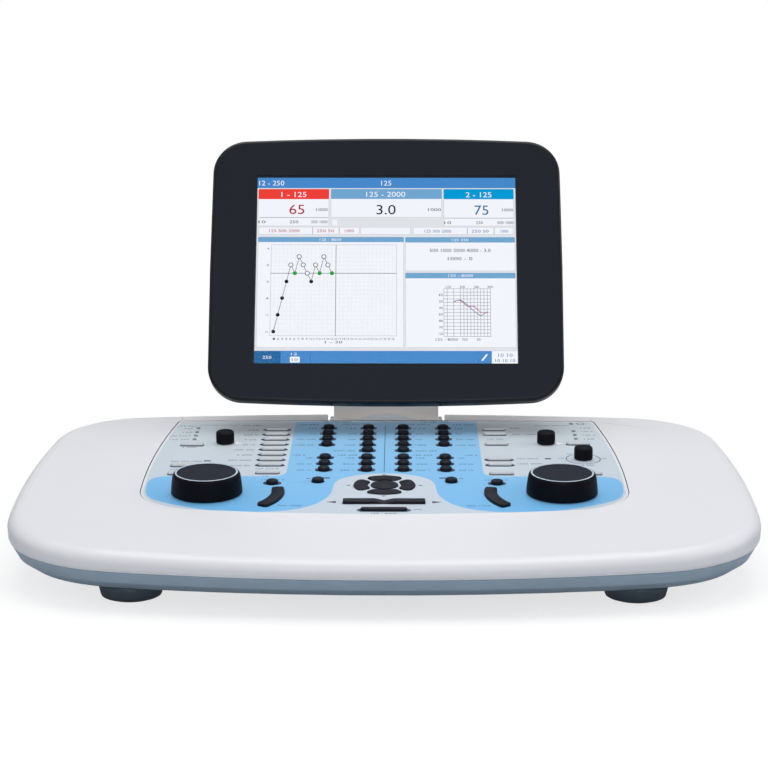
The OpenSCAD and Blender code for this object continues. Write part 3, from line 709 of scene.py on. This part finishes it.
# %% Level dials
dial_rings = [(25.2, 0.2), (25.8, 0.9), (25.75, 3), (25.4, 7), (24.9, 11), (24.5, 13.2), (24.0, 14.6),
              (23.3, 15.4), (22.7, 15.7), (22.5, 15.8), (21.6, 15.8), (21.4, 15.6), (21.3, 15.2),
              (20.9, 15.15), (8, 15.1)]
first_dial = turned("turned dial", dial_rings, 128)
zone(first_dial, 1, lambda p: p.center.z > 15.65 * MM and 21.4 < p.center.xy.length / MM < 22.8)
zone(first_dial, 2, lambda p: p.center.z > 14.9 * MM and p.center.xy.length / MM < 21.4)
for side, name in ((-1, "left_dial"), (1, "right_dial")):
    dial = twin(first_dial, name + "_cap")
    dial.location = (side * 128.4 * MM, -34.3 * MM, 0)
    finish(dial, name, [dial_black, ring_paint, dial_disc], deck, [name])
bpy.data.objects.remove(first_dial)

# %% [markdown]
# The small knobs have fine ribs for fingertips. Every second face of the side is inset and sunk a
# little, which leaves a rib between two grooves, and the top stays smooth and rounded.

# %% Ribbed knobs
knob_rings = [(6.7, 0.1), (7.05, 0.5), (7.1, 1.2), (7.1, 8.0), (6.9, 8.8), (6.3, 9.5), (5.4, 9.8),
              (3, 9.85)]
KNOB_SIDES = 72


def every_second(part):
    """True for every second face of a knob's side."""
    middle = centre(part)
    step = 360 / KNOB_SIDES
    turn = round((math.degrees(math.atan2(middle.y, middle.x)) + 180) / step - 0.5)
    return 1.3 * MM < middle.z < 7.9 * MM and abs(part.normal.z) < 0.2 and turn % 2 == 0


first_knob = turned("turned knob", knob_rings, KNOB_SIDES)
choose(first_knob, "FACE", every_second)
bpy.ops.mesh.inset(thickness=0.07 * MM, depth=-0.28 * MM, use_individual=True)
close_editing()
knob_places = {
    "left_volume_knob": (-126, 95, "left_volume"), "right_volume_knob": (126, 95, "right_volume"),
    "monitor_knob": (151.5, 52.7, "monitor_volume"),
}
for name, (x, y, body) in knob_places.items():
    knob = twin(first_knob, name + "_cap")
    knob.location = (x * MM, y * MM, 0)
    finish(knob, body, [knob_black], deck, [name], 40)
bpy.data.objects.remove(first_knob)

# %% [markdown]
# ## Keys
# The round keys are silicone-domed: straight sides and a soft crown. The others are flat bars. Every
# key starts from its CAD shape. The round keys keep it as it is; on the others the edges round the top
# are bevelled, by more on the bars that the hand rests on.

# %% Round keys
round_keys = ["selector_keys_1", "selector_keys_2", "selector_keys_3", "selector_keys_4",
              "left_interrupt_key", "right_interrupt_key", "left_tracking_key", "right_tracking_key"]
for node in round_keys:
    keys = copy_of(node, node + "_caps")
    finish(keys, node, [key_black], stands_for=[node], smooth=45)

# %% Flat keys


def on_top(place, height):
    """A test for edges that lie at least a height above a sloping surface."""
    back = place.inverted()
    return lambda edge: all((back @ v.co).z > height * MM for v in edge.verts)


flat_keys = {
    "left_present_bar": (1.5, 0.8), "right_present_bar": (1.5, 0.8), "nav_up": (0.3, 0.4),
    "nav_down": (0.3, 0.4), "nav_left": (0.3, 0.4), "nav_right": (0.3, 0.4), "nav_enter": (0.3, 0.4),
    "frequency_rocker": (0.0, 0.6), "store_bar": (1.4, 0.8),
}
for node, (height, width) in flat_keys.items():
    key = copy_of(node, node + "_cap")
    round_edges(key, on_top(deck, height), width, 4)
    finish(key, node, [key_black], stands_for=[node], smooth=40)

# %% Pale keys
for node in ("left_test_keys", "left_option_keys", "right_test_keys", "right_option_keys"):
    key = copy_of(node, node + "_caps")
    round_edges(key, on_top(deck, 2.0), 1.6, 5)
    # Painted shade: the upright sides of each pale key take the darker material.
    zone(key, 1, lambda p: abs(p.normal.dot(deck_up)) < 0.1)
    finish(key, node, [key_pale, key_sides_painted_shade], stands_for=[node], smooth=40)

# %% [markdown]
# Beside each lit key a clear light guide shows on both sides. It is a slim rim of milky plastic with
# a lilac cast, unlit here. The small lamps at the panel's corners are domed lenses.

# %% Light guides and lamps
guides = copy_of("light_pipes", "light_guides")
choose(guides, "FACE", lambda f: f.normal.dot(deck_up) > 0.999 and drawn(deck, centre(f)).z > 0.1)
bpy.ops.mesh.inset(thickness=0.6 * MM)
close_editing()
for part in guides.data.polygons:
    part.material_index = 0 if part.select else 1
finish(guides, "base", [lens_lilac, lens_rim], stands_for=["light_pipes"], smooth=40)
lamps = copy_of("indicator_leds", "corner_lamps")
round_edges(lamps, on_top(deck, 0.5), 0.4, 3)
finish(lamps, "base", [lens_grey], stands_for=["indicator_leds"], smooth=40)

# %% [markdown]
# ## Printed marks
# The film carries small labels, rules, arrows and a scale arc. They are plain numbers and neutral
# marks here. Each is a flat outline made into a skin 0.02 mm thick on the film, the way ink lies on
# it, so it needs no image. Figures are text made into a mesh and stretched to the width a label has.

# %% Drawing flat marks


def tile(x0, y0, x1, y1, turn=0.0):
    """A rectangle, with its corners rounded by a radius if one is given."""
    if not turn:
        return [(x0, y0), (x1, y0), (x1, y1), (x0, y1)]
    corners = [(x1 - turn, y1 - turn, 0), (x0 + turn, y1 - turn, 90), (x0 + turn, y0 + turn, 180),
               (x1 - turn, y0 + turn, 270)]
    return [(x + turn * math.cos(math.radians(a + b)), y + turn * math.sin(math.radians(a + b)))
            for x, y, a in corners for b in (0, 30, 60, 90)]


def spot(x, y, reach, sides=20):
    """A round spot."""
    turns = [2 * math.pi * i / sides for i in range(sides)]
    return [(x + reach * math.cos(a), y + reach * math.sin(a)) for a in turns]


def band(points, width):
    """A line of even width through points, mitred at its corners, as one closed outline."""
    path = [Vector(point) for point in points]
    ways = [(b - a).normalized() for a, b in zip(path, path[1:])]
    sides = [Vector((-way.y, way.x)) for way in ways]
    left, right = [], []
    for middle, before, after in zip(path, sides[:1] + sides, sides + sides[-1:]):
        across = (before + after).normalized()
        reach = across * (width / 2 / max(across.dot(before), 0.3))
        left.append(tuple(middle + reach))
        right.append(tuple(middle - reach))
    return left + right[::-1]


def flat(name, outlines, height, thick=0.02):
    """Closed skins from outlines in millimetres, at a height; an outline in another cuts a hole."""
    drawing = bpy.data.curves.new(name, "CURVE")
    drawing.dimensions = "2D"
    drawing.fill_mode = "BOTH"
    drawing.extrude = thick / 2 * MM
    for outline in outlines:
        spline = drawing.splines.new("POLY")
        spline.points.add(len(outline) - 1)
        for knot, (x, y) in zip(spline.points, outline):
            knot.co = (x * MM, y * MM, 0, 1)
        spline.use_cyclic_u = True
    return made_solid(name, drawing, height)


def written(name, rows, height, thick=0.02):
    """Figures as closed skins; each row is (left, right, middle of the height, height, figures)."""
    lines = []
    for left, right, y, tall, figures in rows:
        line = bpy.data.curves.new(name, "FONT")
        line.body = figures
        line.size = 1
        line.resolution_u = 4 if tall > 4 else 2
        line.fill_mode = "BOTH"
        line.extrude = thick / 2
        lines.append(bpy.data.objects.new(name, line))
        bpy.context.collection.objects.link(lines[-1])
    solo(lines[0])
    for line in lines:
        line.select_set(True)
    bpy.ops.object.convert(target="MESH")
    for line, (left, right, y, tall, figures) in zip(lines, rows):
        xs = [v.co.x for v in line.data.vertices]
        wide = (right - left) * MM / (max(xs) - min(xs))
        high = tall * MM / 0.73
        line.scale = (wide, high, MM)
        line.location = (left * MM - min(xs) * wide, (y - tall / 2) * MM, height * MM)
    bpy.ops.object.join()
    piece = bpy.context.object
    piece.name = name
    bpy.ops.object.transform_apply(location=True, rotation=True, scale=True)
    open_whole(piece)
    bpy.ops.mesh.remove_doubles(threshold=0.001 * MM)
    bpy.ops.mesh.normals_make_consistent(inside=False)
    close_editing()
    return piece


print("helpers for flat marks: 5")

# %% [markdown]
# The printing is slate on the grey film, blue on the blue film, and darker for heads and arrows. Inks
# lie flat and even, so their drift of tone and their bump are small.

# %% Inks
ink_slate = moulded("slate ink", colour(62, 76, 106), 0.5, 0.002, 0.04, 0.0)
ink_blue = moulded("blue ink", colour(20, 62, 118), 0.5, 0.002, 0.04, 0.0)
ink_dark = moulded("dark ink", colour(26, 38, 72), 0.5, 0.002, 0.04, 0.0)
ink_white = moulded("white ink", colour(246, 248, 250), 0.4, 0.002, 0.01, 0.0)
INK = -0.29
print("inks: 4")

# %% [markdown]
# A label's width in millimetres decides how many figures it has. Labels stand outside the columns of
# keys, so on the left half they end at a column's edge, and on the right half they begin at it.

# %% Labels of the keys
RUN = "125 250 500 1000 2000 4000 8000 125 250 500 1000 "


def label(edge, side, y, width, tall=2.9, start=0):
    """One row of plain figures that ends (side -1) or begins (side 1) at an edge."""
    figures = RUN[start:start + max(2, round(width / 1.9))].strip()
    left = edge - width if side < 0 else edge
    return (left, left + width, y, tall, figures)


PITCH = 15.9
outer_widths = [(137.8, [6, 5, 14.5, 15]), (54.8, [5, 11.5, 10.5])]
inner_widths = [(137.8, [8.4, 6.7, 5.6, 8.6, 16.5]), (54.8, [6.7, 8.4, 9.8])]
blue_rows = []
for side in (-1, 1):
    for column, groups in ((45.9, outer_widths), (13.9, inner_widths)):
        for top, widths in groups:
            for i, width in enumerate(widths):
                y = top - PITCH * i
                blue_rows.append(label(side * (column + 9.7), side, y, width, start=4 * i))
    blue_rows.append(label(side * 74.4, side, -1.3, 16.4))
    blue_rows.append(label(side * 58.7, side, -63, 17, start=8))
head_rows = []
for side in (-1, 1):
    head_rows += [label(side * 28.5, side, 157.6, 22.5, 3.1, 4), label(side * 54.7, side, 149, 16.1),
                  label(side * 17.8, side, 150.4, 17.6), label(side * 61.5, side, 62.5, 9.5),
                  label(side * 21.7, side, 62.5, 14.5)]
head_rows += [label(-101.4, -1, 146.4, 14.6), label(-152.9, -1, 144.3, 15.5)]
test_widths = [7.7, 11, 9, 9.6, 15.5, 12, 17.5, 15]
grey_rows = []
for i, width in enumerate(test_widths):
    grey_rows.append(label(-102.3, -1, 132.4 - 14 * i, width, start=3 * i))
for y, width in ((136.6, 6.7), (125.8, 7.2), (115.3, 16.2), (105.2, 15.3)):
    grey_rows.append(label(-155.3, -1, y, width))
for y, width in ((140, 8), (130, 9), (119, 10), (108, 8)):
    grey_rows.append(label(157, 1, y, width))
grey_rows += [
    (-158, -147.4, 83.4, 2.9, "1 000"), (-163.4, -139.8, 45.5, 2.9, "250 500 1000"),
    (-162, -156, 24.6, 2.9, "250"), (-97, -80, 26.5, 2.9, "125 250 8"), (-90.4, -86.4, 7.4, 2.4, "12"),
    (100, 108, 139, 2.9, "2000"), (101, 120, 121, 2.9, "500 - 1000"),
    (80.7, 92.9, 106.8, 2.9, "125 250"), (100.7, 117.2, 53.5, 2.9, "250 8000"),
    (100.7, 119, 40, 2.9, "1000 4000"), (147.7, 158.6, 36.8, 2.7, "12 500"),
    (140, 144, 67, 2.4, "20"), (133, 137, 55, 2.4, "10"), (165.5, 169.5, 54.6, 2.4, "40"),
    (-9, 9, -80.8, 2.6, "125 - 8000"),
]
finish(written("labels_on_blue", blue_rows, INK), "base", [ink_blue], deck, smooth=20)
finish(written("labels_on_grey", grey_rows, INK), "base", [ink_slate], deck, smooth=20)
finish(written("column_heads", head_rows, INK), "base", [ink_dark], deck, smooth=20)

# %% [markdown]
# The rest of the printing is simple shapes: a line down the middle, arrows beside the rocker and the
# ring of keys, small filled chips, and an arc round the monitor knob. Tiles, spots and bands make all
# of them. A spot drawn inside a larger spot leaves a ring, because a filled curve cuts holes.

# %% Rules, arrows, chips and the scale arc
both_sides = []
for side in (-1, 1):
    both_sides += [[(side * 28.8, -15), (side * 25.2, -13.8), (side * 25.2, -16.2)],
                   [(side * 41.4, -54.8), (side * 34.4, -52.4), (side * 34.4, -57.2)],
                   tile(min(side * 45.7, side * 40.5), 1.8, max(side * 45.7, side * 40.5), 4.4),
                   tile(min(side * 58, side * 55.2), 1.0, max(side * 58, side * 55.2), 2.2)]
around = [math.radians(120 + 6 * i) for i in range(51)]
scale_arc = [(151.5 + 13 * math.cos(a), 53 + 13 * math.sin(a)) for a in around]
dark_marks = both_sides + [
    [(-0.5, 12.4), (-2.6, 10.2), (1.6, 10.2)], [(-0.5, -41.8), (-2.6, -39.6), (1.6, -39.6)],
    tile(-0.75, 18, -0.25, 146), tile(-138.2, 45, -132.9, 47.8), tile(122.3, 52, 127, 55),
    band([(21, -73.2), (24, -71), (27.2, -73.2)], 0.8),
    spot(158, 152.5, 3.3), spot(158, 152.5, 2.6),
]
finish(flat("dark_marks", dark_marks, INK), "base", [ink_dark], deck, smooth=20)
pale_marks = [tile(-152, 146.7, -120, 147.3), band(scale_arc, 0.8), tile(120, 146.7, 147, 147.3)]
finish(flat("fine_rules", pale_marks, INK), "base", [ink_slate], deck, smooth=20)
# Two pale triangles just right of the volume knobs.
marks_by_knobs = [[(x + 8.2, 91.4), (x + 13.4, 95.4), (x + 8.2, 99.4)] for x in (-126, 126)]
finish(flat("pale_marks_by_knobs", marks_by_knobs, INK), "base", [ink_white], deck, smooth=20)

# %% [markdown]
# ## The hinge and the display's housing
# The display stands on a broad grey neck that turns on a shaft behind the white cover. Its housing
# has a flat front frame with softly rounded outer edges, two small notches at its foot, and a deep
# back shell. The outer edges are glossier than the face, and their darker tone is painted shade.

# %% Neck and housing
# The neck's pale tone is painted light below the display.
neck = copy_of("neck", "tilting_neck")
round_edges(neck, lambda e: centre(e).z > 75 * MM and abs(centre(e).x) > 40 * MM, 0.8, 3)
finish(neck, "display", [neck_grey], stands_for=["neck"], smooth=30)
even_shading(neck)

bezel = copy_of("display_bezel", "front_frame")
NOTCH_X = 43.5
for x in (-NOTCH_X, NOTCH_X):
    groove(bezel, face, (x - 0.8, -1, -9), (x + 0.8, 1.6, -2.6))


def outside(point):
    """True for a point of the face, drawn flat, that lies near the frame's outline."""
    return abs(point.x) > 116 or point.y < 24 or point.y > 202


def outer(edge):
    return outside(drawn(face, centre(edge)))


front = on_top(face, -0.1)
round_edges(bezel, lambda e: front(e) and outer(e), 3.0, 6)
round_edges(bezel, lambda e: front(e) and not outer(e), 0.3, 2)


def on_rim(part):
    point = drawn(face, part.center)
    return point.z < -0.02 and outside(point)


# Painted shade: the rounded outer edges take the darker rim tone.
zone(bezel, 1, on_rim)
finish(bezel, "display", [display_gloss, frame_rim_painted_shade], stands_for=["display_bezel"],
       smooth=40)
flatten(bezel, face_up)
back_shell = copy_of("display_back", "rear_housing")
finish(back_shell, "display", [display_shell], stands_for=["display_back"], smooth=26)
even_shading(back_shell)

# %% [markdown]
# ## The picture on the screen
# Under the window lies a lit picture: a blue title bar, three boxes with large figures, a stepping
# trace with round points, and a small chart. It is built in thin layers, each a few hundredths of a
# millimetre above the last, of shapes that give light in their own colour, as a flat panel does.

# %% Lit colours
picture = face @ Matrix.Translation((0, 113 * MM, -3.59 * MM))
LAYER = 0.014


def lit(name, tone):
    """A lit area of the flat panel, even to within two hundredths."""
    paint = Paint(name)
    drift = paint.noise(20.0, 1.0)
    paint.set(Base_Color=(0.0, 0.0, 0.0, 1.0), Roughness=0.5 + drift * 0.1)
    glow = paint.mix(drift, shade(tone, 0.985), shade(tone, 1.0))
    paint.set(Emission_Color=glow, Emission_Strength=1.0)
    paint.shader.inputs["Specular IOR Level"].default_value = 0.0
    return paint.material


lit_ground = lit("lit ground", colour(228, 229, 231))
lit_white = lit("lit white", colour(247, 247, 252))
lit_blue = lit("lit blue", colour(72, 138, 203))
lit_mid = lit("lit pale blue", colour(114, 167, 207))
lit_cyan = lit("lit cyan", colour(0, 155, 212))
lit_navy = lit("lit dark blue", colour(35, 105, 160))
lit_red = lit("lit red", colour(240, 64, 56))
lit_wine = lit("lit dark red", colour(176, 32, 52))
lit_green = lit("lit green", colour(24, 160, 60))
lit_black = lit("lit black", colour(20, 20, 24))
lit_line = lit("lit fine line", colour(206, 207, 212))
lit_grey = lit("lit grey", colour(120, 122, 130))
print("lit colours: 12")


def shown(name, paint, outlines, layer):
    """Shapes of one colour on one layer of the picture."""
    piece = flat(name, outlines, LAYER * layer, 0.006)
    finish(piece, "display", [paint], picture, smooth=20)


def spelled(name, paint, rows):
    """Figures of one colour, above the boxes and bars."""
    piece = written(name, rows, LAYER * 5, 0.006)
    finish(piece, "display", [paint], picture, smooth=20)


# %% [markdown]
# The lowest layer is the pale ground. The blue bars lie on it, then the white boxes with a thin rim
# each, and then their coloured heads.

# %% Ground, bars and boxes
shown("screen_ground", lit_ground, [tile(-105.6, -79.2, 105.6, 79.2)], 0.5)
shown("title_bar", lit_blue, [tile(-105.6, 70.2, 105.6, 79.2)], 1)
shown("task_bar", lit_blue, [tile(-105.6, -79.2, 105.6, -68.5)], 1)
shown("task_block", lit_navy, [tile(-105.6, -79.2, -84.5, -68.6)], 2)
framed = [
    (-104.8, 37.3, -46.9, 69.4), (-45.4, 44.7, 45.4, 69.4), (46.8, 37.3, 104.2, 69.4),
    (-104.1, 30, -21.9, 36.5), (-21, 30, 19.9, 36.5), (21.8, 30, 103.8, 36.5),
    (-104.4, -65.9, 14.3, 27.9), (15.5, -1.2, 104.7, 27.8), (15.5, -65.8, 104.7, -2.7),
]
boxes = [tile(*box, 1) for box in framed]
boxes += [tile(-77, -78.3, -69, -73.4, 0.8), tile(84.9, -79.2, 105.6, -68.6)]
boxes += [tile(-44, 38, -40, 43, 0.6)]
shown("white_boxes", lit_white, boxes, 2)
rims = []
for x0, y0, x1, y1 in framed:
    rims += [tile(x0, y0, x1, y1, 1), tile(x0 + 0.35, y0 + 0.35, x1 - 0.35, y1 - 0.35, 0.7)]
shown("box_rims", lit_line, rims, 3)
shown("red_head", lit_red, [tile(-104.8, 60.6, -46.9, 69.4, 0.8)], 4)
shown("cyan_head", lit_cyan, [tile(46.8, 60.6, 104.2, 69.4, 0.8)], 4)
pale_heads = [tile(-45.4, 60.8, 45.4, 69.4, 0.8), tile(-104.4, 23.5, 14.3, 27.9, 0.8),
              tile(15.5, 23.2, 104.7, 27.8, 0.8), tile(15.5, -7.4, 104.7, -2.7, 0.8)]
shown("pale_heads", lit_mid, pale_heads, 4)
dividers = [tile(-104, 44.4, -47.4, 44.8), tile(47.4, 44, 103.7, 44.4), tile(-60.2, 30.4, -59.8, 36.1),
            tile(-38.6, 30.4, -38.2, 36.1), tile(65.8, 30.4, 66.2, 36.1), tile(87.6, 30.4, 88, 36.1)]
shown("box_dividers", lit_grey, dividers, 4)

# %% [markdown]
# All writing on the screen is plain figures. Each colour's rows are made in one go and joined into one
# piece, because one piece carries one lit colour.

# %% Large and small figures
spelled("wine_figures", lit_wine, [
    (-79.3, -67, 52, 8.6, "65"), (-95.5, -70.6, 33.3, 2.6, "125 500 2000"),
    (-56.7, -42.6, 33.3, 2.6, "250 50"), (-33.7, -26.4, 33.3, 2.6, "1000")])
spelled("black_figures", lit_black, [
    (-8, 7.6, 51.8, 8.6, "3.0"), (-57.3, -48, 51.6, 2.6, "1000"), (34.2, 44.6, 51.6, 2.6, "1000"),
    (94.6, 103.4, 51.4, 2.6, "1000"), (-104.2, -98.6, 41, 2.6, "10"), (-79, -71.8, 41, 2.6, "250"),
    (-61.2, -48, 41, 2.6, "500 1000"), (47.4, 53, 40.4, 2.6, "10"), (73.2, 78.8, 40.4, 2.6, "250"),
    (90.6, 103.6, 40.4, 2.6, "500 1000"), (35.3, 84.8, 16.6, 2.9, "500 1000 2000 4000 - 3.0"),
    (50, 70, 9.5, 2.9, "1000 - 0"), (-49, -35, -61.2, 2.2, "1 - 30")])
spelled("blue_figures", lit_navy, [
    (72, 83.4, 51.4, 8.6, "75"), (31.2, 53, 33, 2.6, "125 500 2000"), (69.6, 83.4, 33, 2.6, "250 50"),
    (93.2, 99.4, 33, 2.6, "1000"), (-75.4, -70.6, -75.9, 2.4, "10"), (90, 101.6, -71.9, 2.8, "10 10"),
    (87.6, 103.6, -76.4, 2.6, "10 10 10")])
spelled("white_figures", lit_white, [
    (-104.4, -83.8, 74.7, 4.4, "12 - 250"), (-4.3, 4, 74.7, 4.4, "125"),
    (-86, -65.5, 64.8, 4.6, "1 - 125"),
    (-16.5, 15.5, 65, 4.6, "125 - 2000"), (65, 86, 64.6, 4.6, "2 - 125"),
    (-54.2, -36.4, 25.7, 2.2, "125 - 8000"), (53.4, 67, 25.5, 2.2, "125 250"),
    (50.4, 70.4, -5, 2.2, "125 - 8000"), (-99, -91.8, -73.9, 2.6, "250"),
    (-76, -71.2, -71.2, 2.2, "12")])

# %% Figures on the axes
small_rows = []
for i in range(30):
    wider = 0.6 if i > 8 else 0
    small_rows.append((-90.9 + 3.29 * i, -89.3 + 3.29 * i + wider, -58.5, 1.7, str(i + 1)))
small_rows += [(-96.9, -95.1, 17.9 - 14.1 * i, 1.7, str(4 * abs(i - 1))) for i in range(6)]
for i, figures in enumerate(("125", "500", "2000", "8000")):
    small_rows.append((48.2 + 11.3 * i, 52.4 + 11.3 * i, -14.6, 2.1, figures))
small_rows += [(42.6, 45.8, -21.4 - 5.45 * i, 2.1, str(20 * i)) for i in range(7)]
small_rows += [(40, 58, -58.9, 2.1, "125 - 8000"), (61.2, 65.6, -58.9, 2.1, "750")]
small_rows += [(73, 76, -58.9, 2.1, "30")]
spelled("axis_figures", lit_black, small_rows)

# %% [markdown]
# The trace climbs in steps to a level and then hunts about it. Its points are worked out from a short
# list of levels, so that line, filled points and open points always agree. An open point is a dark
# spot with a smaller white one on it.

# %% The stepping trace
plot_lines = [tile(-93.5 + 3.29 * i - 0.1, -56, -93.5 + 3.29 * i + 0.1, 21.2) for i in range(1, 31)]
shown("plot_columns", lit_ground, plot_lines, 3)
plot_rows = [tile(-93.5, 21.2 - 3.53 * i - 0.1, 8.5, 21.2 - 3.53 * i + 0.1) for i in range(1, 22)]
shown("plot_rows", lit_ground, plot_rows, 3.4)
shown("plot_frame", lit_line, [tile(-93.7, -56.2, 8.7, 21.4), tile(-93.2, -55.7, 8.2, 20.9)], 3.7)
shown("plot_cross_up", lit_grey, [tile(-41, -56, -40.5, 21.2)], 4.3)
shown("plot_cross_level", lit_grey, [tile(-93.5, -3.4, 8.5, -2.9)], 4.6)
heights = [-7, -5, -3, -1, 1, 0, 2, 1, 0, -1, 1, 0, 2, 1, 0]
trace = [(-90.7 + 3.34 * i, -3.1 + 7.05 * n) for i, n in enumerate(heights)]
DARK = (0, 1, 2, 3, 9)
GREEN = (5, 11, 14)
OPEN = (4, 6, 7, 8, 10, 12, 13)
shown("trace_line", lit_black, [band(trace, 0.4)], 4.8)
dark_spots = [spot(*trace[i], 1.6) for i in DARK]
green_spots = [spot(*trace[i], 1.75) for i in GREEN]
open_spots = [spot(*trace[i], 2.0) for i in OPEN]
inner_spots = [spot(*trace[i], 1.45) for i in OPEN]
shown("dark_spots", lit_black, dark_spots + open_spots, 5.1)
shown("green_spots", lit_green, green_spots, 5.1)
shown("open_spots", lit_white, inner_spots, 5.5)

# %% [markdown]
# The small chart at the right has columns at uneven steps, and a red and a blue line that fall
# together. Each line is one mitred band, so that its corners don't gape.

# %% The small chart
chart_x = [46.6, 49.4, 54.6, 60, 62.8, 65.5, 68.3, 71, 73.8, 76.3, 79, 81.8, 84.3]
chart_columns = [tile(x - 0.15, -56.5, x + 0.15, -16.3) for x in chart_x]
shown("chart_columns", lit_grey, chart_columns, 3)
chart_rows = [tile(46.5, -16.3 - 2.87 * i - 0.1, 84.4, -16.1 - 2.87 * i) for i in range(15)]
shown("chart_rows", lit_grey, chart_rows, 3.4)
red_run = [(54.6, -26.8), (60, -26), (65.5, -31), (71, -31), (76.3, -36.2), (81.8, -36.6)]
shown("chart_red", lit_wine, [band(red_run, 0.5)], 4)
blue_run = [(54.6, -27.2), (60, -25.6), (65.5, -29.6), (71, -35.4), (76.3, -39), (81.8, -35.6)]
shown("chart_blue", lit_navy, [band(blue_run, 0.5)], 4.4)
pencil = [band([(77, -76.6), (81.2, -71.2)], 1.3)]
shown("pencil_mark", lit_white, pencil, 3)
shown("task_lines", lit_navy, [tile(-60.6, -79.2, -60.3, -68.6), tile(73.6, -79.2, 73.9, -68.6)], 3)

# %% [markdown]
# ## The room
# The object stands on a white sweep under soft light, as in a product photograph. A plain lamp level
# is used, at which a colour renders about as it is written. The white behind comes from the colour
# of the sweep and the sky as the camera sees them, never from more light on the object. The fill and
# front lamps cast no shadow: they stand for light that comes from all round.

# %% Floor and sky
bpy.ops.mesh.primitive_plane_add(size=14, location=(0, 0, 0))
floor = bpy.context.object
floor.name = "floor"

sweep = Paint("white sweep")
seen = sweep.node("ShaderNodeLightPath", {}, {}, "Is Camera Ray")
sweep.set(Base_Color=sweep.mix(seen, colour(190, 194, 200), (1.0, 1.0, 1.0, 1.0)), Roughness=1.0)
sweep.shader.inputs["Specular IOR Level"].default_value = 0.0
away = sweep.node("ShaderNodeVectorMath", {"operation": "LENGTH"}, {0: sweep.place()}, "Value")
far = (0.72 + ((away - 0.3) * 0.8)).clamped() * seen
glow = sweep.node("ShaderNodeEmission", {}, {"Color": (1.0, 1.0, 1.0, 1.0), "Strength": 1.0})
surface = Flow(sweep, sweep.shader.outputs[0])
both = sweep.node("ShaderNodeMixShader", {}, {0: far, 1: surface, 2: glow})
sweep.join(both, sweep.tree.nodes["Material Output"].inputs["Surface"])
floor.data.materials.append(sweep.material)

world = bpy.context.scene.world or bpy.data.worlds.new("room")
bpy.context.scene.world = world
world.use_nodes = True
sky = world.node_tree
sky.nodes.clear()
path = sky.nodes.new("ShaderNodeLightPath")
dim = sky.nodes.new("ShaderNodeBackground")
dim.inputs["Color"].default_value = (0.93, 0.96, 1.0, 1.0)
dim.inputs["Strength"].default_value = 0.22
bright = sky.nodes.new("ShaderNodeBackground")
bright.inputs["Color"].default_value = (1.0, 1.0, 1.0, 1.0)
bright.inputs["Strength"].default_value = 1.0
blend = sky.nodes.new("ShaderNodeMixShader")
end = sky.nodes.new("ShaderNodeOutputWorld")
sky.links.new(path.outputs["Is Camera Ray"], blend.inputs[0])
sky.links.new(dim.outputs[0], blend.inputs[1])
sky.links.new(bright.outputs[0], blend.inputs[2])
sky.links.new(blend.outputs[0], end.inputs[0])
print("floor and sky set")

# %% [markdown]
# Five square lamps stand in for the softboxes of a studio. The overhead lamp and the two at the sides
# give the shadows and the highlights on the rims. The fill and front lamps reach what lies below the
# display.

# %% Lamps


def soft_lamp(name, stand, aim, size, power, shadow=True):
    """A square lamp that stands at one point and faces another; some cast no shadow."""
    bpy.ops.object.light_add(type="AREA", location=stand)
    lamp = bpy.context.object
    lamp.name = name
    lamp.data.size = size
    lamp.data.energy = power
    lamp.data.use_shadow = shadow
    lamp.rotation_euler = (Vector(aim) - Vector(stand)).to_track_quat("-Z", "Y").to_euler()


soft_lamp("overhead lamp", (0.0, -0.3, 2.3), (0, 0, 0), 1.8, 4)
soft_lamp("fill lamp", (0.0, 0.3, 2.0), (0, 0, 0), 1.8, 26, shadow=False)
soft_lamp("front lamp", (0.0, -1.9, 1.3), (0, 0, 0.1), 1.2, 16, shadow=False)
soft_lamp("left lamp", (-1.8, 0.1, 1.2), (0, 0, 0.1), 1.0, 4)
soft_lamp("right lamp", (1.8, 0.1, 1.0), (0, 0, 0.1), 1.0, 8)
print("lamps: 5")

# %% [markdown]
# The camera stands in front, a little above, with a long lens, as the object is usually shown. Its
# place and turn were fitted to the photograph's proportions.

# %% Camera
view = bpy.data.cameras.new("view")
view.lens = 93.8
view.sensor_width = 36
camera = bpy.data.objects.new("view", view)
bpy.context.collection.objects.link(camera)
LOOK_DOWN = 8.644
TURN_LEFT = 0.444
camera.location = (0.0108, -1.453 - MIDDLE * MM, 0.349)
camera.rotation_euler = (math.radians(90 - LOOK_DOWN), 0, math.radians(TURN_LEFT))
bpy.context.scene.camera = camera
bpy.context.scene.view_settings.view_transform = "Standard"
print("camera at", [round(v, 3) for v in camera.location])
